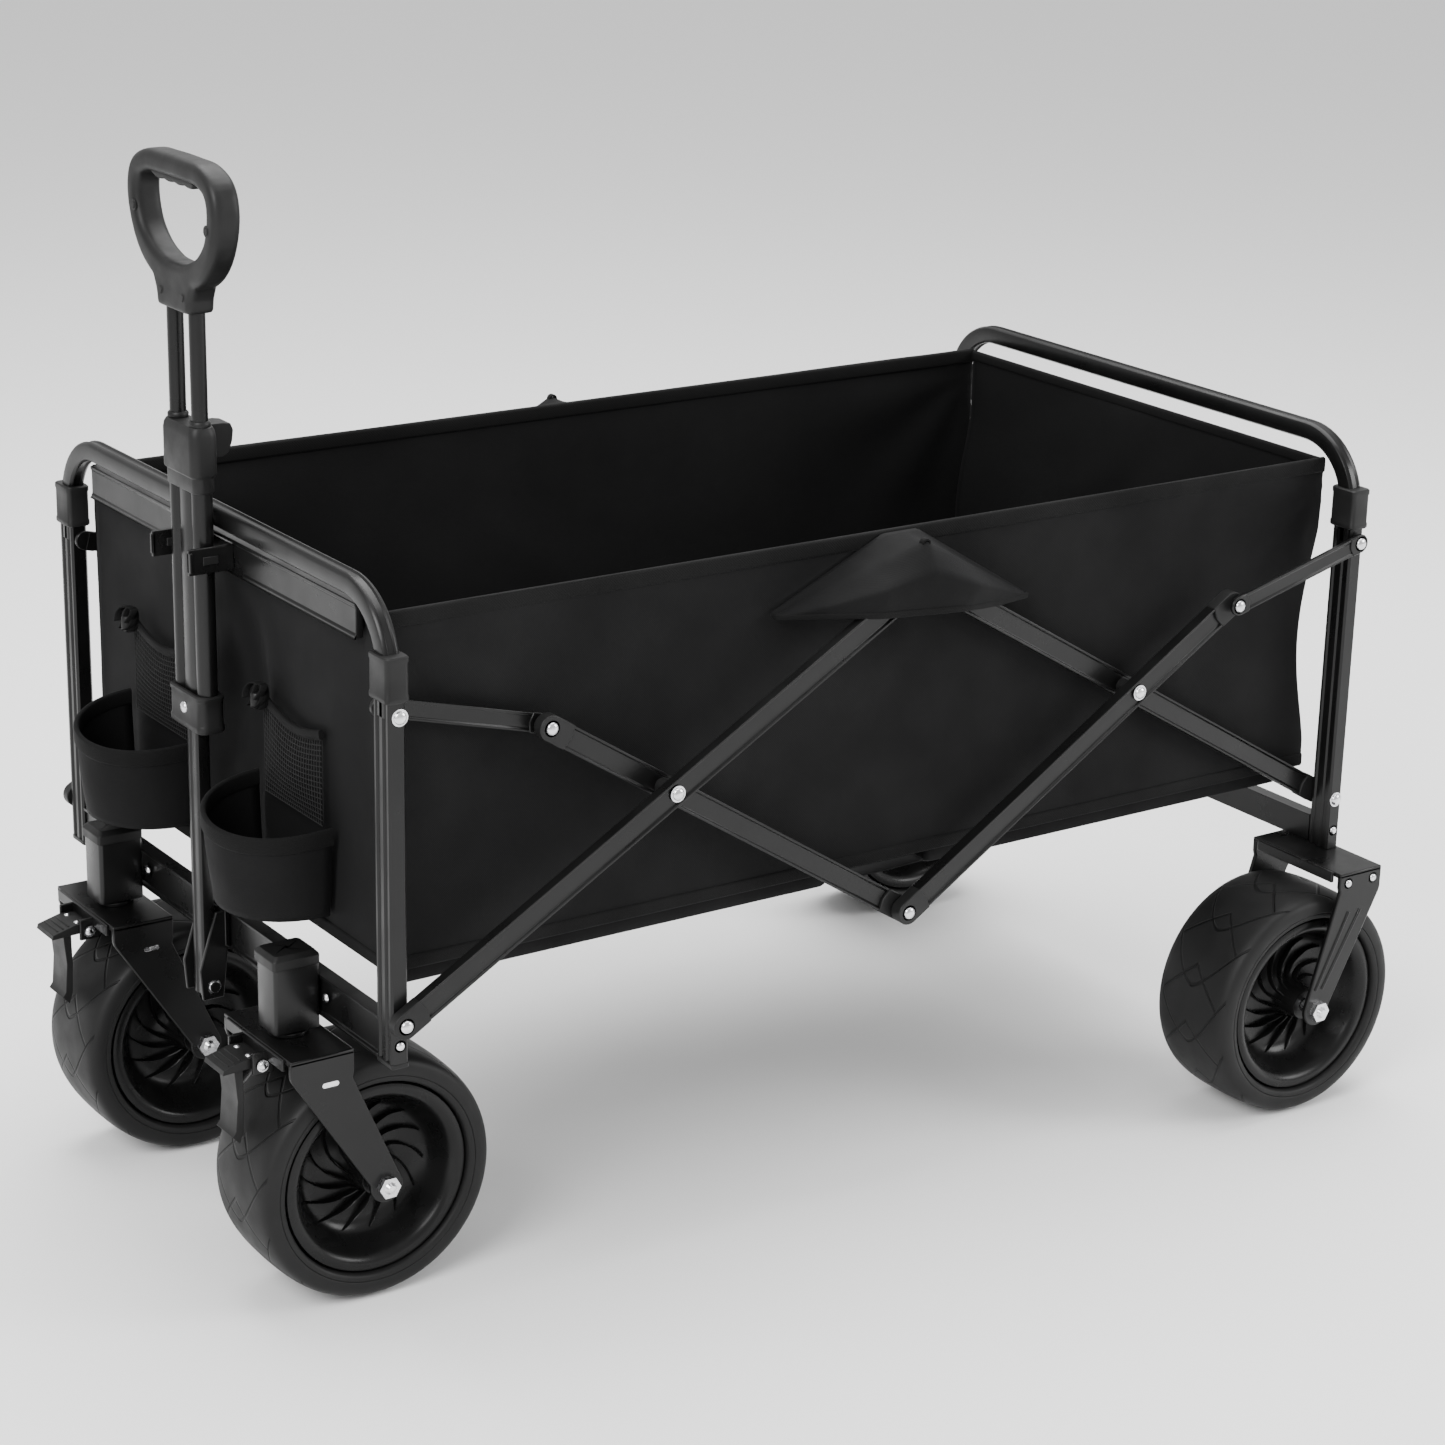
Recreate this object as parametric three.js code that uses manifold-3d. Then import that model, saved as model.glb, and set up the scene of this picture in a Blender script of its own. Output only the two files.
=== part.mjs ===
// A folding garden wagon with a telescoping pull handle. Millimetres, +Z up.
// The handle end faces -X. Every left piece has +Y, every right piece -Y.
// Lengths are from the middle of the basket; the whole group is then set down on the ground.
import * as THREE from "three";
import { mergeVertices } from "three/addons/utils/BufferGeometryUtils.js";
import Module from "manifold-3d";

const wasm = await Module();
wasm.setup();

// ---- Driving dimensions -------------------------------------------------------------------
const BASKET_OFFSET = 20; // the casters reach further than the rear wheels, so the basket sits back
const GROUND = 7; // height of the ground in the dimensions below
const GAP = 0.3; // running gap between neighbouring pieces

const POST_X = 436; // end frame planes, from the middle of the basket
const POST_Y = 254;
const POST = { x: 13, y: 22 };
const ARCH = { x: 13, thick: 15, top: 565, radius: 52, lap: 30 }; // lap: leg length inside the post
const BEND_STEPS = 5;
const FRONT_POST_FOOT = 228;
const REAR_POST_FOOT = 217.5;
const POST_TOP = 508;
const SLEEVE = { low: 489.5, high: 521.5, inner: 240.6, outer: 267.4, x: 18.6 };

// Side linkage, in the plane of the side: pivots for the rear half, mirrored for the front half.
const PIVOT = {
  foot: [POST_X, 260], // long link on its post
  cross: [217, 388], // where the two long links cross
  apex: [0, 516], // the front and rear lift links meet
  low: [0, 250], // the front and rear cross links meet
  elbow: [308, 446], // upper end of the cross link, on the short stay
  stay: [434, 479], // short stay on its post
};
const LINK_WIDTH = 18;
const STAY_WIDTH = 14;
const PIN = 3.2;
const PIN_HOLE = 3.7;
const OPEN_HOLE = 6; // the opened pivot at the bottom of the scissors
const SPACER = 6;
const HEAD = { radius: 6, thick: 2.2 };
// Layers outward from the basket, as [inner face, outer face] distances from the middle plane.
const LAYER = {
  frontStay: [236.2, 239.4],
  rearLift: [233, 242],
  frontCross: [243.3, 252.3],
  rearCross: [254, 264],
  frontLift: [265.6, 274],
  rearStay: [268.2, 271.4],
};

const RIM_Z = 541; // top edge of the fabric walls
const WALL = { y: 226, thick: 3.5, low: 280 };
const END_WALL = { x: 427, half: 225.5, low: 285, high: 536 };
const BOARD = { hinge: 412, length: 366, half: 222, low: 267, thick: 12 };

const WHEEL = { radius: 95, width: 82, seat: 74, rim: 73.1, hubWidth: 76, bore: 5.6, axle: 5, z: 102 };
const CASTER = { x: -461, y: 146, trail: 50, plateTop: 215, leg: 50 };
const REAR_WHEEL = { x: 385, y: 262, plateTop: 217, leg: 50 };

const HANDLE = {
  x: -455, pivotZ: 200, barrel: 17.5, rod: 6, bore: 6.4, barrelRadius: 7.5,
  lower: { x: 11, y: 18, low: 190, high: 530 },
  middle: { low: 403, high: 618 },
  rods: { low: 490, high: 718 },
  gripLow: 708, gripHigh: 816, gripWidth: 142, neck: 26, gripHalfX: 11,
};
const GRIP_HOLE = { low: 742, high: 799, half: 55, corner: 22 };
const PAD = { waves: 4, depth: 3.5, swell: 3.5, halfX: 8 };

const BLACK_STEEL = { color: 0x17181a, roughness: 0.38, metalness: 0.6 };
const BLACK_PLASTIC = { color: 0x1b1b1c, roughness: 0.5, metalness: 0 };
const RUBBER = { color: 0x202022, roughness: 0.8, metalness: 0 };
const FABRIC = { color: 0x121213, roughness: 0.92, metalness: 0 };

// ---- Solids ---------------------------------------------------------------------------------
function solid(geometry) {
  const bare = geometry.clone();
  for (const name of Object.keys(bare.attributes)) {
    if (name !== "position") bare.deleteAttribute(name);
  }
  const merged = mergeVertices(bare, 1e-4);
  return new wasm.Manifold(new wasm.Mesh({
    numProp: 3,
    vertProperties: new Float32Array(merged.attributes.position.array),
    triVerts: new Uint32Array(merged.index.array),
  }));
}

function toGeometry(body) {
  const mesh = body.getMesh();
  const indexed = new THREE.BufferGeometry();
  indexed.setAttribute("position", new THREE.BufferAttribute(new Float32Array(mesh.vertProperties), 3));
  indexed.setIndex(new THREE.BufferAttribute(new Uint32Array(mesh.triVerts), 1));
  const faceted = indexed.toNonIndexed();
  faceted.computeVertexNormals();
  return faceted;
}

const union = (...bodies) => bodies.reduce((a, b) => a.add(b));
const cut = (body, ...tools) => tools.reduce((a, b) => a.subtract(b), body);

/** A box from its low and high corners along X, Y and Z. */
function box([x0, x1], [y0, y1], [z0, z1]) {
  const shape = new THREE.BoxGeometry(Math.abs(x1 - x0), Math.abs(y1 - y0), Math.abs(z1 - z0));
  return solid(shape.translate((x0 + x1) / 2, (y0 + y1) / 2, (z0 + z1) / 2));
}

/** A cylinder along Y between two distances, at (x, z). */
function rodY(radius, [y0, y1], x, z, sides = 12) {
  const shape = new THREE.CylinderGeometry(radius, radius, Math.abs(y1 - y0), sides);
  return solid(shape.translate(x, (y0 + y1) / 2, z));
}

/** A cylinder along Z between two heights, at (x, y). */
function rodZ(radius, [z0, z1], x, y, sides = 16) {
  const shape = new THREE.CylinderGeometry(radius, radius, z1 - z0, sides).rotateX(Math.PI / 2);
  return solid(shape.translate(x, y, (z0 + z1) / 2));
}

/** A plate with an outline in X and Z, between two distances along Y. */
function plateY(shape, y0, y1) {
  const low = Math.min(y0, y1);
  const geometry = new THREE.ExtrudeGeometry(shape, {
    depth: Math.abs(y1 - y0), bevelEnabled: false, curveSegments: 5,
  });
  return solid(geometry.rotateX(Math.PI / 2).translate(0, low + Math.abs(y1 - y0), 0));
}

/** An upright prism with an outline in X and Y. */
function prismZ(shape, z0, z1, curveSegments = 8) {
  const depth = z1 - z0;
  const geometry = new THREE.ExtrudeGeometry(shape, { depth, bevelEnabled: false, curveSegments });
  return solid(geometry.translate(0, 0, z0));
}

function polygon(points) {
  return new THREE.Shape(points.map(([x, y]) => new THREE.Vector2(x, y)));
}

/** The outline of a bar with round ends, from one pivot to the other. */
function barShape([x0, z0], [x1, z1], width) {
  const along = Math.atan2(z1 - z0, x1 - x0);
  const shape = new THREE.Shape();
  shape.absarc(x1, z1, width / 2, along - Math.PI / 2, along + Math.PI / 2, false);
  shape.absarc(x0, z0, width / 2, along + Math.PI / 2, along + (3 * Math.PI) / 2, false);
  return shape;
}

function roundedRect(halfX, halfY, radius) {
  const shape = new THREE.Shape();
  shape.absarc(halfX - radius, halfY - radius, radius, 0, Math.PI / 2, false);
  shape.absarc(radius - halfX, halfY - radius, radius, Math.PI / 2, Math.PI, false);
  shape.absarc(radius - halfX, radius - halfY, radius, Math.PI, 1.5 * Math.PI, false);
  shape.absarc(halfX - radius, radius - halfY, radius, 1.5 * Math.PI, 2 * Math.PI, false);
  return shape;
}

/** A ring or disc turned about Y from a closed profile of [radius, y] points. */
function turnedY(profile, sides, x, y, z) {
  const closed = [...profile, profile[0]].map(([r, h]) => new THREE.Vector2(r, h));
  return solid(new THREE.LatheGeometry(closed, sides).translate(x, y, z));
}

const wagon = new THREE.Group();
wagon.position.set(BASKET_OFFSET, 0, -GROUND);
const SIDES = [["left", 1], ["right", -1]];

function part(name, body, finish) {
  const mesh = new THREE.Mesh(toGeometry(body), new THREE.MeshStandardMaterial(finish));
  mesh.name = name;
  wagon.add(mesh);
}

/** A layer's two faces on one side of the wagon. */
const layer = (name, side) => LAYER[name].map((y) => y * side);

// ---- End frames: a bent arch on two posts, with moulded corner sleeves ------------------------
/** One leg-to-leg arch tube, bent round both upper corners. */
function archTube(x) {
  const mid = ARCH.top - ARCH.thick / 2;
  const bend = mid - ARCH.radius;
  const inner = POST_Y - ARCH.radius;
  const legEnd = POST_TOP - ARCH.lap;
  const stations = [new THREE.Vector3(x, -POST_Y, legEnd)];
  for (const side of [-1, 1]) {
    for (let i = 0; i <= BEND_STEPS; i++) {
      const turn = ((side < 0 ? i : BEND_STEPS - i) / BEND_STEPS) * (Math.PI / 2);
      const y = side * (inner + ARCH.radius * Math.cos(turn));
      stations.push(new THREE.Vector3(x, y, bend + ARCH.radius * Math.sin(turn)));
    }
  }
  stations.push(new THREE.Vector3(x, POST_Y, legEnd));
  return sweptInYZ(stations, ARCH.x / 2, ARCH.thick / 2);
}

/** A tube of rounded rectangular section along points that all lie in one plane of constant x. */
function sweptInYZ(stations, halfX, halfIn) {
  const section = roundedRect(halfX, halfIn, 4).getPoints(2).slice(0, -1);
  const rings = stations.map((p, i) => {
    const before = stations[Math.max(0, i - 1)];
    const after = stations[Math.min(stations.length - 1, i + 1)];
    const tangent = new THREE.Vector3().subVectors(after, before).normalize();
    const normal = new THREE.Vector3(0, tangent.z, -tangent.y);
    return section.map((s) => new THREE.Vector3(p.x + s.x, p.y + normal.y * s.y, p.z + normal.z * s.y));
  });
  return loft(rings);
}

/** A closed solid through rings of equal length, with flat ends. */
function loft(rings) {
  const n = rings[0].length;
  const position = rings.flat().flatMap((p) => [p.x, p.y, p.z]);
  const ends = [rings[0], rings[rings.length - 1]].map((ring) => {
    const middle = ring.reduce((a, p) => a.add(p), new THREE.Vector3()).divideScalar(n);
    position.push(middle.x, middle.y, middle.z);
    return position.length / 3 - 1;
  });
  const last = (rings.length - 1) * n;
  const index = [];
  for (let j = 0; j < n; j++) {
    const k = (j + 1) % n;
    for (let i = 0; i < rings.length - 1; i++) {
      const [a, b, c, d] = [i * n + j, i * n + k, (i + 1) * n + j, (i + 1) * n + k];
      index.push(a, b, d, a, d, c);
    }
    index.push(ends[0], k, j, ends[1], last + j, last + k);
  }
  const geometry = new THREE.BufferGeometry();
  geometry.setAttribute("position", new THREE.Float32BufferAttribute(position, 3));
  geometry.setIndex(index);
  const made = solid(geometry);
  if (made.volume() > 0) return made;
  geometry.setIndex(index.reverse());
  return solid(geometry);
}

function endFrame(end, foot, holes) {
  const x = end * POST_X;
  let frame = archTube(x);
  for (const [, side] of SIDES) {
    const post = box([x - POST.x / 2, x + POST.x / 2],
      [side * POST_Y - POST.y / 2, side * POST_Y + POST.y / 2], [foot, POST_TOP]);
    frame = frame.add(post);
  }
  for (const [hx, hz] of holes) frame = frame.subtract(rodY(PIN_HOLE, [-300, 300], end * hx, hz));
  return frame;
}

part("front_frame_tube", endFrame(-1, FRONT_POST_FOOT, [PIVOT.foot, PIVOT.stay]), BLACK_STEEL);
part("rear_frame_tube", endFrame(1, REAR_POST_FOOT, [PIVOT.foot, PIVOT.stay]), BLACK_STEEL);

for (const [end, at] of [["front", -1], ["rear", 1]]) {
  for (const [hand, side] of SIDES) {
    const x = at * POST_X;
    const outline = roundedRect(SLEEVE.x / 2, (SLEEVE.outer - SLEEVE.inner) / 2, 4);
    const shell = prismZ(outline, SLEEVE.low, SLEEVE.high, 4)
      .translate([x, (side * (SLEEVE.outer + SLEEVE.inner)) / 2, 0]);
    const bore = box([x - POST.x / 2 - GAP, x + POST.x / 2 + GAP],
      [side * POST_Y - POST.y / 2 - GAP, side * POST_Y + POST.y / 2 + GAP], [0, 900]);
    part(`${end}_sleeve_${hand}`, shell.subtract(bore), BLACK_PLASTIC);
  }
}

// ---- Rails between the posts ------------------------------------------------------------------
const railHalf = POST_Y - POST.y / 2 - GAP;
part("front_lower_rail", box([-442, -430], [-railHalf, railHalf], [227, 258]), BLACK_STEEL);
part("rear_lower_rail", box([430, 442], [-railHalf, railHalf], [218, 241]), BLACK_STEEL);

const clipTab = (side) => box([-473, -438], [side * 28, side * 31], [523, 542]);
const rail = box([-440, -432], [-212, 212], [520, 545]);
part("handle_rail", union(rail, clipTab(1), clipTab(-1)), BLACK_STEEL);

// ---- Scissor linkage on both sides --------------------------------------------------------------
const forward = ([x, z]) => [-x, z];

function bar(from, to, width, name, side) {
  return plateY(barShape(from, to, width), ...layer(name, side));
}

/** A rivet on a link's outer face, with a pin that runs inward through its neighbours. */
function rivet([x, z], outer, inner, side, spacerTo) {
  const head = rodY(HEAD.radius, [side * outer, side * (outer + HEAD.thick)], x, z);
  const pin = rodY(PIN, [side * (inner), side * (outer + 0.5)], x, z);
  const made = head.add(pin);
  return spacerTo === undefined ? made : made.add(rodY(SPACER, [side * spacerTo, side * outer], x, z));
}

const hole = ([x, z], radius, side) => rodY(radius, [side * 200, side * 320], x, z);

for (const [hand, side] of SIDES) {
  const foot = forward(PIVOT.foot);
  const cross = forward(PIVOT.cross);
  const elbow = forward(PIVOT.elbow);
  const stay = forward(PIVOT.stay);

  part(`front_lift_link_${hand}`, union(
    bar(foot, PIVOT.apex, LINK_WIDTH, "frontLift", side),
    rivet(foot, LAYER.frontLift[1], POST_Y - POST.y / 2, side),
    rivet(cross, LAYER.frontLift[1], 241.5, side, LAYER.frontCross[1] + GAP),
    rivet(PIVOT.apex, LAYER.frontLift[1], 231.5, side, LAYER.rearLift[1] + GAP),
  ), BLACK_STEEL);

  part(`rear_lift_link_${hand}`, cut(
    union(
      bar(PIVOT.foot, PIVOT.apex, LINK_WIDTH, "rearLift", side),
      rivet(PIVOT.foot, POST_Y + POST.y / 2 + GAP, LAYER.rearLift[0], side),
    ),
    hole(PIVOT.cross, PIN_HOLE, side),
    hole(PIVOT.apex, PIN_HOLE, side),
  ), BLACK_STEEL);

  part(`rear_cross_link_${hand}`, union(
    bar(PIVOT.low, PIVOT.elbow, LINK_WIDTH, "rearCross", side),
    rivet(PIVOT.cross, LAYER.rearCross[1], 231.5, side, LAYER.rearLift[1] + GAP),
    rivet(PIVOT.low, LAYER.rearCross[1], 241.8, side),
  ), BLACK_STEEL);

  part(`front_cross_link_${hand}`, cut(
    union(
      bar(PIVOT.low, elbow, LINK_WIDTH, "frontCross", side),
      rivet(elbow, LAYER.frontCross[1], LAYER.frontCross[0], side),
    ),
    hole(cross, PIN_HOLE, side),
    hole(PIVOT.low, OPEN_HOLE, side),
  ), BLACK_STEEL);

  part(`front_stay_${hand}`, union(
    bar(stay, elbow, STAY_WIDTH, "frontStay", side),
    rivet(stay, POST_Y + POST.y / 2 + GAP, LAYER.frontStay[0], side),
  ), BLACK_STEEL);

  const stayFace = side * LAYER.rearStay[1];
  part(`rear_stay_${hand}`, union(
    bar(PIVOT.stay, PIVOT.elbow, STAY_WIDTH, "rearStay", side),
    rivet(PIVOT.stay, LAYER.rearStay[1], 241, side),
    rodY(HEAD.radius, [stayFace, stayFace + side * HEAD.thick], ...PIVOT.elbow),
  ), BLACK_STEEL);
}

// ---- Basket: floor boards and fabric walls ------------------------------------------------------
const boardTop = BOARD.low + BOARD.thick;
part("floor_board_front", box([-BOARD.hinge, BOARD.length - BOARD.hinge], [-BOARD.half, BOARD.half],
  [BOARD.low, boardTop]), FABRIC);
part("floor_board_rear", box([BOARD.hinge - BOARD.length, BOARD.hinge], [-BOARD.half, BOARD.half],
  [BOARD.low, boardTop]), FABRIC);
const stripHalf = BOARD.hinge - BOARD.length - 0.5;
part("floor_strip", box([-stripHalf, stripHalf], [-BOARD.half, BOARD.half],
  [BOARD.low + 1, BOARD.low + 5]), FABRIC);

for (const [end, at] of [["front", -1], ["rear", 1]]) {
  part(`${end}_wall`, box([at * END_WALL.x, at * (END_WALL.x + WALL.thick)],
    [-END_WALL.half, END_WALL.half], [END_WALL.low, END_WALL.high]), FABRIC);
}

/** The rear side wall pulls away from its post below the corner. */
function rearSideShape() {
  const shape = new THREE.Shape();
  shape.moveTo(0.3, WALL.low);
  shape.lineTo(408, WALL.low + 4);
  shape.bezierCurveTo(396, 330, 398, 400, 424, 500);
  shape.lineTo(425, RIM_Z);
  shape.lineTo(0.3, RIM_Z);
  return shape;
}

const frontSideShape = polygon([[-425, WALL.low], [-0.3, WALL.low], [-0.3, RIM_Z], [-425, RIM_Z]]);

for (const [hand, side] of SIDES) {
  const faces = [side * WALL.y, side * (WALL.y + WALL.thick)];
  part(`side_wall_front_${hand}`, plateY(frontSideShape, ...faces), FABRIC);
  part(`side_wall_rear_${hand}`, plateY(rearSideShape(), ...faces), FABRIC);
}

// A triangular pocket on the rim covers the joint at the top of the scissors.
const flapShape = polygon([[4, 538], [-112, 494], [-48, 494], [30, 489], [122, 474]]);
for (const [hand, side] of SIDES) {
  part(`apex_flap_${hand}`, union(
    plateY(flapShape, side * 278.6, side * 282),
    box([-10, 12], [side * 231, side * 281], [529, 532.5]),
  ), FABRIC);
}

// ---- Cup pockets on the handle end ----------------------------------------------------------------
const CUP = { y: 108, half: 58, back: -431.5, depth: 68, low: 300, rim: 378, netTop: 436, wall: 3 };

function halfRound(inset) {
  const shape = new THREE.Shape();
  shape.moveTo(CUP.back - inset, -CUP.half + inset);
  shape.lineTo(CUP.back - inset, CUP.half - inset);
  shape.absellipse(CUP.back - inset, 0, CUP.depth - 2 * inset, CUP.half - inset,
    Math.PI / 2, (3 * Math.PI) / 2, false, 0);
  return shape;
}

for (const [hand, side] of SIDES) {
  const cup = cut(
    prismZ(halfRound(0), CUP.low, CUP.rim),
    prismZ(halfRound(CUP.wall), CUP.low + CUP.wall, CUP.rim + 1),
  );
  const net = box([CUP.back - CUP.wall, CUP.back], [-46, 46], [CUP.rim - 5, CUP.netTop]);
  part(`cup_pocket_${hand}`, cup.add(net).translate([0, side * CUP.y, 0]), FABRIC);
}

// ---- Wheels ---------------------------------------------------------------------------------------
/** Fat tyre: a crowned tread with round shoulders on a straight seat. */
function tyreProfile() {
  const { radius, width, seat } = WHEEL;
  const half = width / 2;
  return [
    [seat, -half + 3], [seat + 4, -half], [radius - 11, -half], [radius - 5, -half + 3],
    [radius - 2, -half + 10], [radius, -half + 28], [radius, half - 28], [radius - 2, half - 10],
    [radius - 5, half - 3], [radius - 11, half], [seat + 4, half], [seat, half - 3],
  ];
}

/** Deep-dished wheel centre: a rim, a web set back to the middle and a barrel for the axle. */
function hubProfile() {
  const { rim } = WHEEL;
  const half = WHEEL.hubWidth / 2;
  return [
    [WHEEL.bore, -half], [12, -half], [16, -18], [46, -10], [57, -28], [62, -half], [rim, -half],
    [rim, half], [62, half], [57, 28], [46, 10], [16, 18], [12, half], [WHEEL.bore, half],
  ];
}

const wheelPlaces = SIDES.flatMap(([hand, side]) => [
  [`front_${hand}`, CASTER.x + CASTER.trail, side * CASTER.y],
  [`rear_${hand}`, REAR_WHEEL.x, side * REAR_WHEEL.y],
]);
for (const [place, x, y] of wheelPlaces) {
  part(`tyre_${place}`, turnedY(tyreProfile(), 32, x, y, WHEEL.z), RUBBER);
  part(`wheel_${place}`, turnedY(hubProfile(), 20, x, y, WHEEL.z), BLACK_PLASTIC);
}

/** An axle bolt along Y with a hexagon head and nut outside the fork's legs. */
function axle(x, y, leg) {
  const reach = leg + 2;
  const nut = (s) => rodY(9, [y + s * reach, y + s * (reach + 6)], x, WHEEL.z, 6);
  return union(rodY(WHEEL.axle, [y - reach - 1, y + reach + 1], x, WHEEL.z, 24), nut(1), nut(-1));
}

/** A fork's leg, narrowing from the top plate to a round end at the axle. */
function legShape(front, back, top, axleX) {
  const shape = new THREE.Shape();
  shape.moveTo(front, top);
  shape.lineTo(front, top - 12);
  shape.lineTo(axleX - 12, WHEEL.z + 4);
  shape.absarc(axleX, WHEEL.z, 13, Math.PI, 2 * Math.PI, false);
  shape.lineTo(back, top - 18);
  shape.lineTo(back, top);
  return shape;
}

function fork(x, y, axleX, spec, front, back) {
  const { plateTop, leg } = spec;
  const legs = [1, -1].map((s) => plateY(legShape(x + front, x + back, plateTop, axleX),
    y + s * (leg - 2), y + s * (leg + 2)));
  const plate = box([x + front, x + back], [y - leg - 2, y + leg + 2], [plateTop - 4, plateTop]);
  return union(plate, ...legs, axle(axleX, y, leg));
}

// ---- Front casters, their housings and brakes -------------------------------------------------------
const BRAKE = { x: CASTER.x - 31, z: 203, ear: 17, half: 15 };
for (const [hand, side] of SIDES) {
  const y = side * CASTER.y;
  const bore = rodZ(8, [200, 262], CASTER.x, y);
  const housing = union(
    box([-478, -442.3], [y - 14.5, y + 14.5], [219, 273]),
    box([-479.5, -442.3], [y - 16, y + 16], [272, 279]),
  );
  part(`caster_housing_${hand}`, housing.subtract(bore), BLACK_STEEL);

  const stem = union(
    rodZ(6.5, [CASTER.plateTop - 2, 258], CASTER.x, y),
    rodZ(15, [CASTER.plateTop - 1, 218.6], CASTER.x, y, 24),
  );
  const ear = (s) => box([BRAKE.x - 7, CASTER.x - 22],
    [y + s * BRAKE.ear, y + s * (BRAKE.ear + 3)], [196, 213]);
  const bracket = cut(union(ear(1), ear(-1)), rodY(3.4, [y - 40, y + 40], BRAKE.x, BRAKE.z));
  part(`caster_fork_${hand}`, union(
    fork(CASTER.x, y, CASTER.x + CASTER.trail, CASTER, -25, 25), stem, bracket,
  ), BLACK_STEEL);

  const pedalShape = polygon([
    [4, 200], [4, 207], [-8, 208], [-27, 203], [-28, 199], [-18, 199.5], [-16, 176], [-18, 153],
    [-21, 149], [-15, 143], [-12, 152], [-11, 176], [-12, 199],
  ].map(([dx, z]) => [BRAKE.x + dx, z]));
  const reach = BRAKE.ear + 5;
  part(`brake_pedal_${hand}`, union(
    plateY(pedalShape, y - BRAKE.half, y + BRAKE.half),
    rodY(3, [y - reach, y + reach], BRAKE.x, BRAKE.z, 16),
  ), BLACK_PLASTIC);
}

// ---- Fixed rear forks -------------------------------------------------------------------------------
for (const [hand, side] of SIDES) {
  const plateX = REAR_WHEEL.x + 33;
  const made = fork(plateX, side * REAR_WHEEL.y, REAR_WHEEL.x, REAR_WHEEL, -18, 27);
  part(`rear_fork_${hand}`, made, BLACK_STEEL);
}

// ---- Pull handle ------------------------------------------------------------------------------------
const hinge = { x: HANDLE.x, z: HANDLE.pivotZ };
const footShape = polygon([
  [-442.3, 258], [-442.3, 230], [-447, 190], [-464, 190], [-466, 214], [-452, 258],
]);
const footPlate = (s) => plateY(footShape, s * 12, s * 15);
part("handle_foot_bracket", cut(
  union(footPlate(1), footPlate(-1), box([-445, -442.3], [-15, 15], [230, 258])),
  rodY(4.3, [-20, 20], hinge.x, hinge.z),
), BLACK_STEEL);

const { lower, middle, rods } = HANDLE;
const lowerTube = box([HANDLE.x - lower.x / 2, HANDLE.x + lower.x / 2],
  [-lower.y / 2, lower.y / 2], [lower.low, lower.high]);
part("handle_lower_tube", union(lowerTube, rodY(4, [-17.5, 17.5], hinge.x, hinge.z)), BLACK_STEEL);

/** Two barrels joined by two thin webs, which leave a channel for the lower tube. */
function middleStage() {
  const span = [middle.low, middle.high];
  const { barrelRadius } = HANDLE;
  const channelHalf = lower.x / 2 + 0.4;
  const barrels = [1, -1].map((s) => rodZ(barrelRadius, span, HANDLE.x, s * HANDLE.barrel));
  const webs = [1, -1].map((s) => box(
    [HANDLE.x + s * channelHalf, HANDLE.x + s * barrelRadius], [-HANDLE.barrel, HANDLE.barrel], span));
  const bores = [1, -1].map((s) => rodZ(HANDLE.bore, [0, 900], HANDLE.x, s * HANDLE.barrel));
  const slot = lower.y / 2 + 0.4;
  const channel = box([HANDLE.x - channelHalf, HANDLE.x + channelHalf], [-slot, slot], [0, 900]);
  return cut(union(...barrels, ...webs), ...bores, channel);
}
part("handle_middle_tube", middleStage(), BLACK_STEEL);

/** A moulded collar round the middle stage, open along its whole height. */
function collarRing(low, high, halfX, halfY) {
  const outer = prismZ(roundedRect(halfX, halfY, 8), low, high, 5);
  const room = HANDLE.barrelRadius + GAP;
  const inner = prismZ(roundedRect(room, HANDLE.barrel + room, room - 0.1), low - 1, high + 1, 6);
  return outer.subtract(inner).translate([HANDLE.x, 0, 0]);
}
part("handle_clamp", collarRing(401, 429, 11, 27), BLACK_PLASTIC);

/** The top collar closes the middle stage, with a hole for each rod and a release tab behind. */
function topCollar() {
  const skirt = collarRing(591, 619, 10.5, 26.5);
  const cap = prismZ(roundedRect(10.5, 26.5, 8), 618.4, 627, 5).translate([HANDLE.x, 0, 0]);
  const holes = [1, -1].map((s) => rodZ(HANDLE.bore, [0, 900], HANDLE.x, s * HANDLE.barrel));
  const tab = box([HANDLE.x + 10, HANDLE.x + 30], [-9, 9], [600, 625]);
  return cut(union(skirt, cap, tab), ...holes);
}
part("handle_collar", topCollar(), BLACK_PLASTIC);

part("handle_rods", union(
  rodZ(HANDLE.rod, [rods.low, rods.high], HANDLE.x, HANDLE.barrel),
  rodZ(HANDLE.rod, [rods.low, rods.high], HANDLE.x, -HANDLE.barrel),
  box([HANDLE.x - 5, HANDLE.x + 5], [-HANDLE.barrel, HANDLE.barrel], [rods.high - 8, rods.high]),
), BLACK_STEEL);

/** Grip: a neck over the rods that widens into a D-shaped loop. */
function gripOutline() {
  const half = HANDLE.gripWidth / 2;
  const { gripLow: low, gripHigh: top, neck } = HANDLE;
  const shape = new THREE.Shape();
  shape.moveTo(-neck, low);
  shape.lineTo(neck, low);
  shape.bezierCurveTo(neck + 2, low + 24, half - 2, low + 34, half, top - 34);
  shape.bezierCurveTo(half, top - 8, half - 14, top, half - 34, top);
  shape.lineTo(34 - half, top);
  shape.bezierCurveTo(14 - half, top, -half, top - 8, -half, top - 34);
  shape.bezierCurveTo(2 - half, low + 34, -neck - 2, low + 24, -neck, low);
  return shape;
}

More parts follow.
